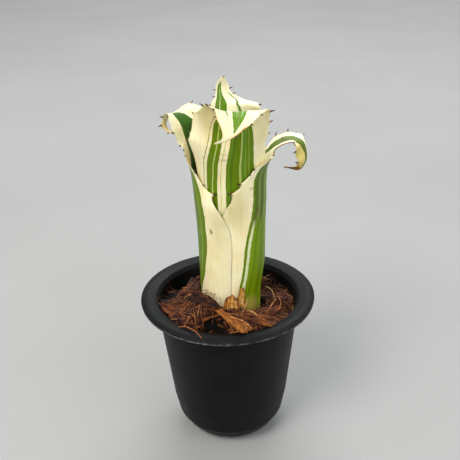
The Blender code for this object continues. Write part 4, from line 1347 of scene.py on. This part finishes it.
def dryness(leaf, share, across):
    """How far the leaf has dried: all of the last of its tip, and parts of its margins."""
    at = share[:, None]
    dry = rising(at, leaf["dry_tip"], 0.012) + 0.1 * rising(np.abs(across), 0.97, 0.03)
    for start, end, side, strength in leaf["dry_edges"]:
        along = rising(np.minimum(at - start, end + 0.01 - at), 0, 0.01)
        dry = np.maximum(dry, strength * along * rising(side * across, 0.8, 0.12))
    return dry


def stripe_places(guides, share, across):
    """Where each point lies among the stripes: -0.6, 0 and 0.6 on the guides, 1 at a margin."""
    rows = np.array(guides)
    lines = [np.interp(share, rows[:, 0], rows[:, k])[:, None] for k in (1, 2, 3)]
    places = [-1 + 0 * lines[0], *lines, 1 + 0 * lines[0]]
    stripe = np.full((len(share), across.shape[-1]), -1.0)
    values = (-1, -0.6, 0, 0.6, 1)
    for low, high, start, end in zip(places[:-1], places[1:], values[:-1], values[1:]):
        inside = np.clip((across - low) / np.maximum(high - low, 1e-6), 0, 1)
        stripe = np.where(across >= low, start + (end - start) * inside, stripe)
    return stripe


def make_leaf(name, leaf, spine_finish):
    """The leaf as a closed lens-shaped skin, and its spines, one from each tooth."""
    share = np.linspace(0, 1, LEAF_ROWS)
    across = np.linspace(-1, 1, LEAF_COLUMNS)[None, :]
    sheet, length, x = leaf_sheet(leaf, share, across)
    ends = np.clip(np.minimum(share / 0.01, (1 - share) / 0.02), 0, 1)[:, None] ** 0.5
    thin = (1 - 0.45 * across**2) * np.sqrt(1 - across**10) * (1 - 0.3 * share[:, None])
    thin = thin * (1 - 0.8 * wrapped(share) * rising(np.abs(across), 0.7, 0.3))
    points, faces, order, inner = shell(sheet, 0.5 * LEAF_THICKNESS * thin * ends)
    outside, inside = (
        stripe_places(leaf[face + "_guides"], share, across) for face in ("outside", "inside")
    )
    shaded, mark, aged = (
        blemishes(leaf[kind], share, across, x, length) for kind in ("shaded", "marks", "aged")
    )
    values = {
        "stripe": np.where(inner > 0.25, inside[:, order], outside[:, order]),
        "sheet": joined(x, share[:, None] * length, 0)[:, order],
        "inner": np.broadcast_to(inner, (len(share), len(order))),
        "mark": mark[:, order],
        "shaded": shaded[:, order],
        "dry": np.maximum(dryness(leaf, share, across), 0.9 * aged)[:, order],
    }
    finish = leaf_tissue(name + "_tissue", leaf, length)
    add_piece(f"variegated_{name}", points, faces, finish, [name], values, 0.002 * MM)
    make_spines(name, leaf, share, sheet, spine_finish)


def make_spines(name, leaf, share, sheet, finish):
    """Curved tapering spines that carry each tooth's point outwards and a little forwards."""
    paths, radii = [], []
    sunk = 0.35 * MM  # how deep each is rooted in the margin
    t = np.linspace(0, 1, 7)[:, None]
    for column, inwards, teeth in ((0, 1, leaf["teeth_a"]), (-1, -2, leaf["teeth_b"])):
        for place, height, _ in teeth:
            row = np.abs(share - place).argmin()
            foot = sheet[row, column]
            out = unit(foot - sheet[row, inwards])
            ahead = unit(sheet[min(row + 2, len(share) - 1), column] - sheet[row - 2, column])
            long = (0.85 + min(height, 1.3)) * MM + sunk
            paths.append(foot - sunk * out + long * (t * out + 0.28 * t**2 * ahead))
            thick = (0.42 * (1 - t[:, 0] ** 1.2) + 0.012) * MM
            radii.append(thick * (0.55 + 0.45 * min(height, 1)))
    points, faces = tubes(np.array(paths), np.array(radii))
    tone = np.broadcast_to(t[None, :, :], points.shape[:3])
    add_piece(f"{name}_spines", points, faces, finish, (), {"tone": tone})


# Old scales at the foot of the tube

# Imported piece: azimuth (degrees), foot and height (mm, from the rim), half-width (mm), layer
# behind it, and how far its top leans out (mm)
SCALES = {
    "old_leaf_base": (-93, 0.0, 8.0, 3.5, 0, 0.7),
    "dry_scale": (-75, 0.0, 10.6, 1.9, 1, 0.5),
}


def make_scales(finish):
    """Curved sheets against the tube, torn along the top, thin and brown at their edges."""
    for number, (name, row) in enumerate(SCALES.items()):
        azimuth, foot, height, width, layer, lean = row
        up, across = np.linspace(0, 1, 48)[:, None], np.linspace(-1, 1, 41)[None, :]
        pointed = name == "dry_scale"
        waves = np.sin(13 * across + 2 * number)
        if pointed:
            torn, folds, fold_shade = 0 * across, 0.12, 0
            taper = np.sqrt(1 - 0.97 * up**2)
        else:
            torn = 0.08 * rough(6 * across, 0 * across, 1.0, 71) - 0.3 * across**2
            folds, fold_shade = 0.34, 0.22
            taper = 1 - 0.18 * up**2
        z = RIM_HEIGHT + (foot + up * height * (1 + torn)) * MM
        ribs = folds * waves * np.sqrt(1 - across**2) * (1 - up**4)
        radius = tube_radius(z, layer) + LEAF_THICKNESS + (0.3 + lean * up**2 + ribs) * MM
        angle = np.radians(azimuth) + width * MM * taper * across / radius
        sheet = slimmed(turned(radius, z, angle, TUBE_AXIS))
        ends = np.clip(np.minimum(up, 1 - up) * 9, 0, 1) ** 0.5
        half = 0.32 * MM * ends * np.sqrt(1 - across**8)
        points, faces, order, _ = shell(sheet, half)
        # Browner towards the edges and the top, and darker in the valleys between the folds as painted
        # shade
        edge = 0.75 * np.maximum(np.abs(across) ** 4, up**5) + 0.12 + fold_shade * (1 - waves) / 2
        grain = joined(z - RIM_HEIGHT, width * MM * across, 0)
        values = {"tone": edge[:, order], "grain": grain[:, order]}
        add_piece(f"papery_{name}", points, faces, finish, [name], values, 0.002 * MM)


# Surroundings


def make_surroundings():
    """A wide pale floor, large soft lights and an even pale sky."""
    mesh = bpy.data.meshes.new("floor")
    corners = 3.0 * np.array([(-1, -1, 0), (1, -1, 0), (1, 1, 0), (-1, 1, 0)])
    mesh.from_pydata(corners.tolist(), [], [(0, 1, 2, 3)])
    mesh.materials.append(studio_paper())
    floor = bpy.data.objects.new("floor", mesh)
    bpy.context.scene.collection.objects.link(floor)
    # Name: place, width (m), power (W), warmth as a colour
    lights = {
        "key": ((-0.50, -0.60, 0.95), 0.5, 10.2, "#FFFDF6"),
        "fill": ((0.8, -0.6, 0.6), 0.9, 5.2, "#F8FAFF"),
        "top": ((0.1, 0.55, 1.0), 0.8, 5.0, "#FBFCFF"),
        "backdrop": ((0.2, 1.7, 1.6), 2.0, 26.0, "#FFFFFF"),
    }
    for name, (place, width, power, colour) in lights.items():
        data = bpy.data.lights.new(name, "AREA")
        data.size = width
        data.energy = power
        data.color = linear(colour)[:3]
        light = bpy.data.objects.new(name, data)
        light.location = place
        target = (0, 1.6, 0) if name == "backdrop" else (0, 0, RIM_HEIGHT)
        aim = Vector(target) - Vector(place)
        light.rotation_euler = aim.to_track_quat("-Z", "Y").to_euler()
        bpy.context.scene.collection.objects.link(light)
    world = bpy.data.worlds.new("pale_sky")
    world.use_nodes = True
    sky = world.node_tree.nodes["Background"]
    fill(world.node_tree, sky, {"Color": linear("#E6E7E8"), "Strength": 0.6})
    bpy.context.scene.world = world
    bpy.context.scene.view_settings.view_transform = "Standard"


make_camera()
make_pot(polypropylene())
make_coir(coir_pith())
husk = coconut_husk()
make_chips(husk)
make_crumbs(husk)
strand = coir_strand()
make_strands(strand)
make_long_strands(strand)
make_stem(stem_rind())
spine = spine_horn()
for leaf_name, leaf_rows in LEAVES.items():
    make_leaf(leaf_name, leaf_rows, spine)
make_scales(dead_scale())
make_surroundings()
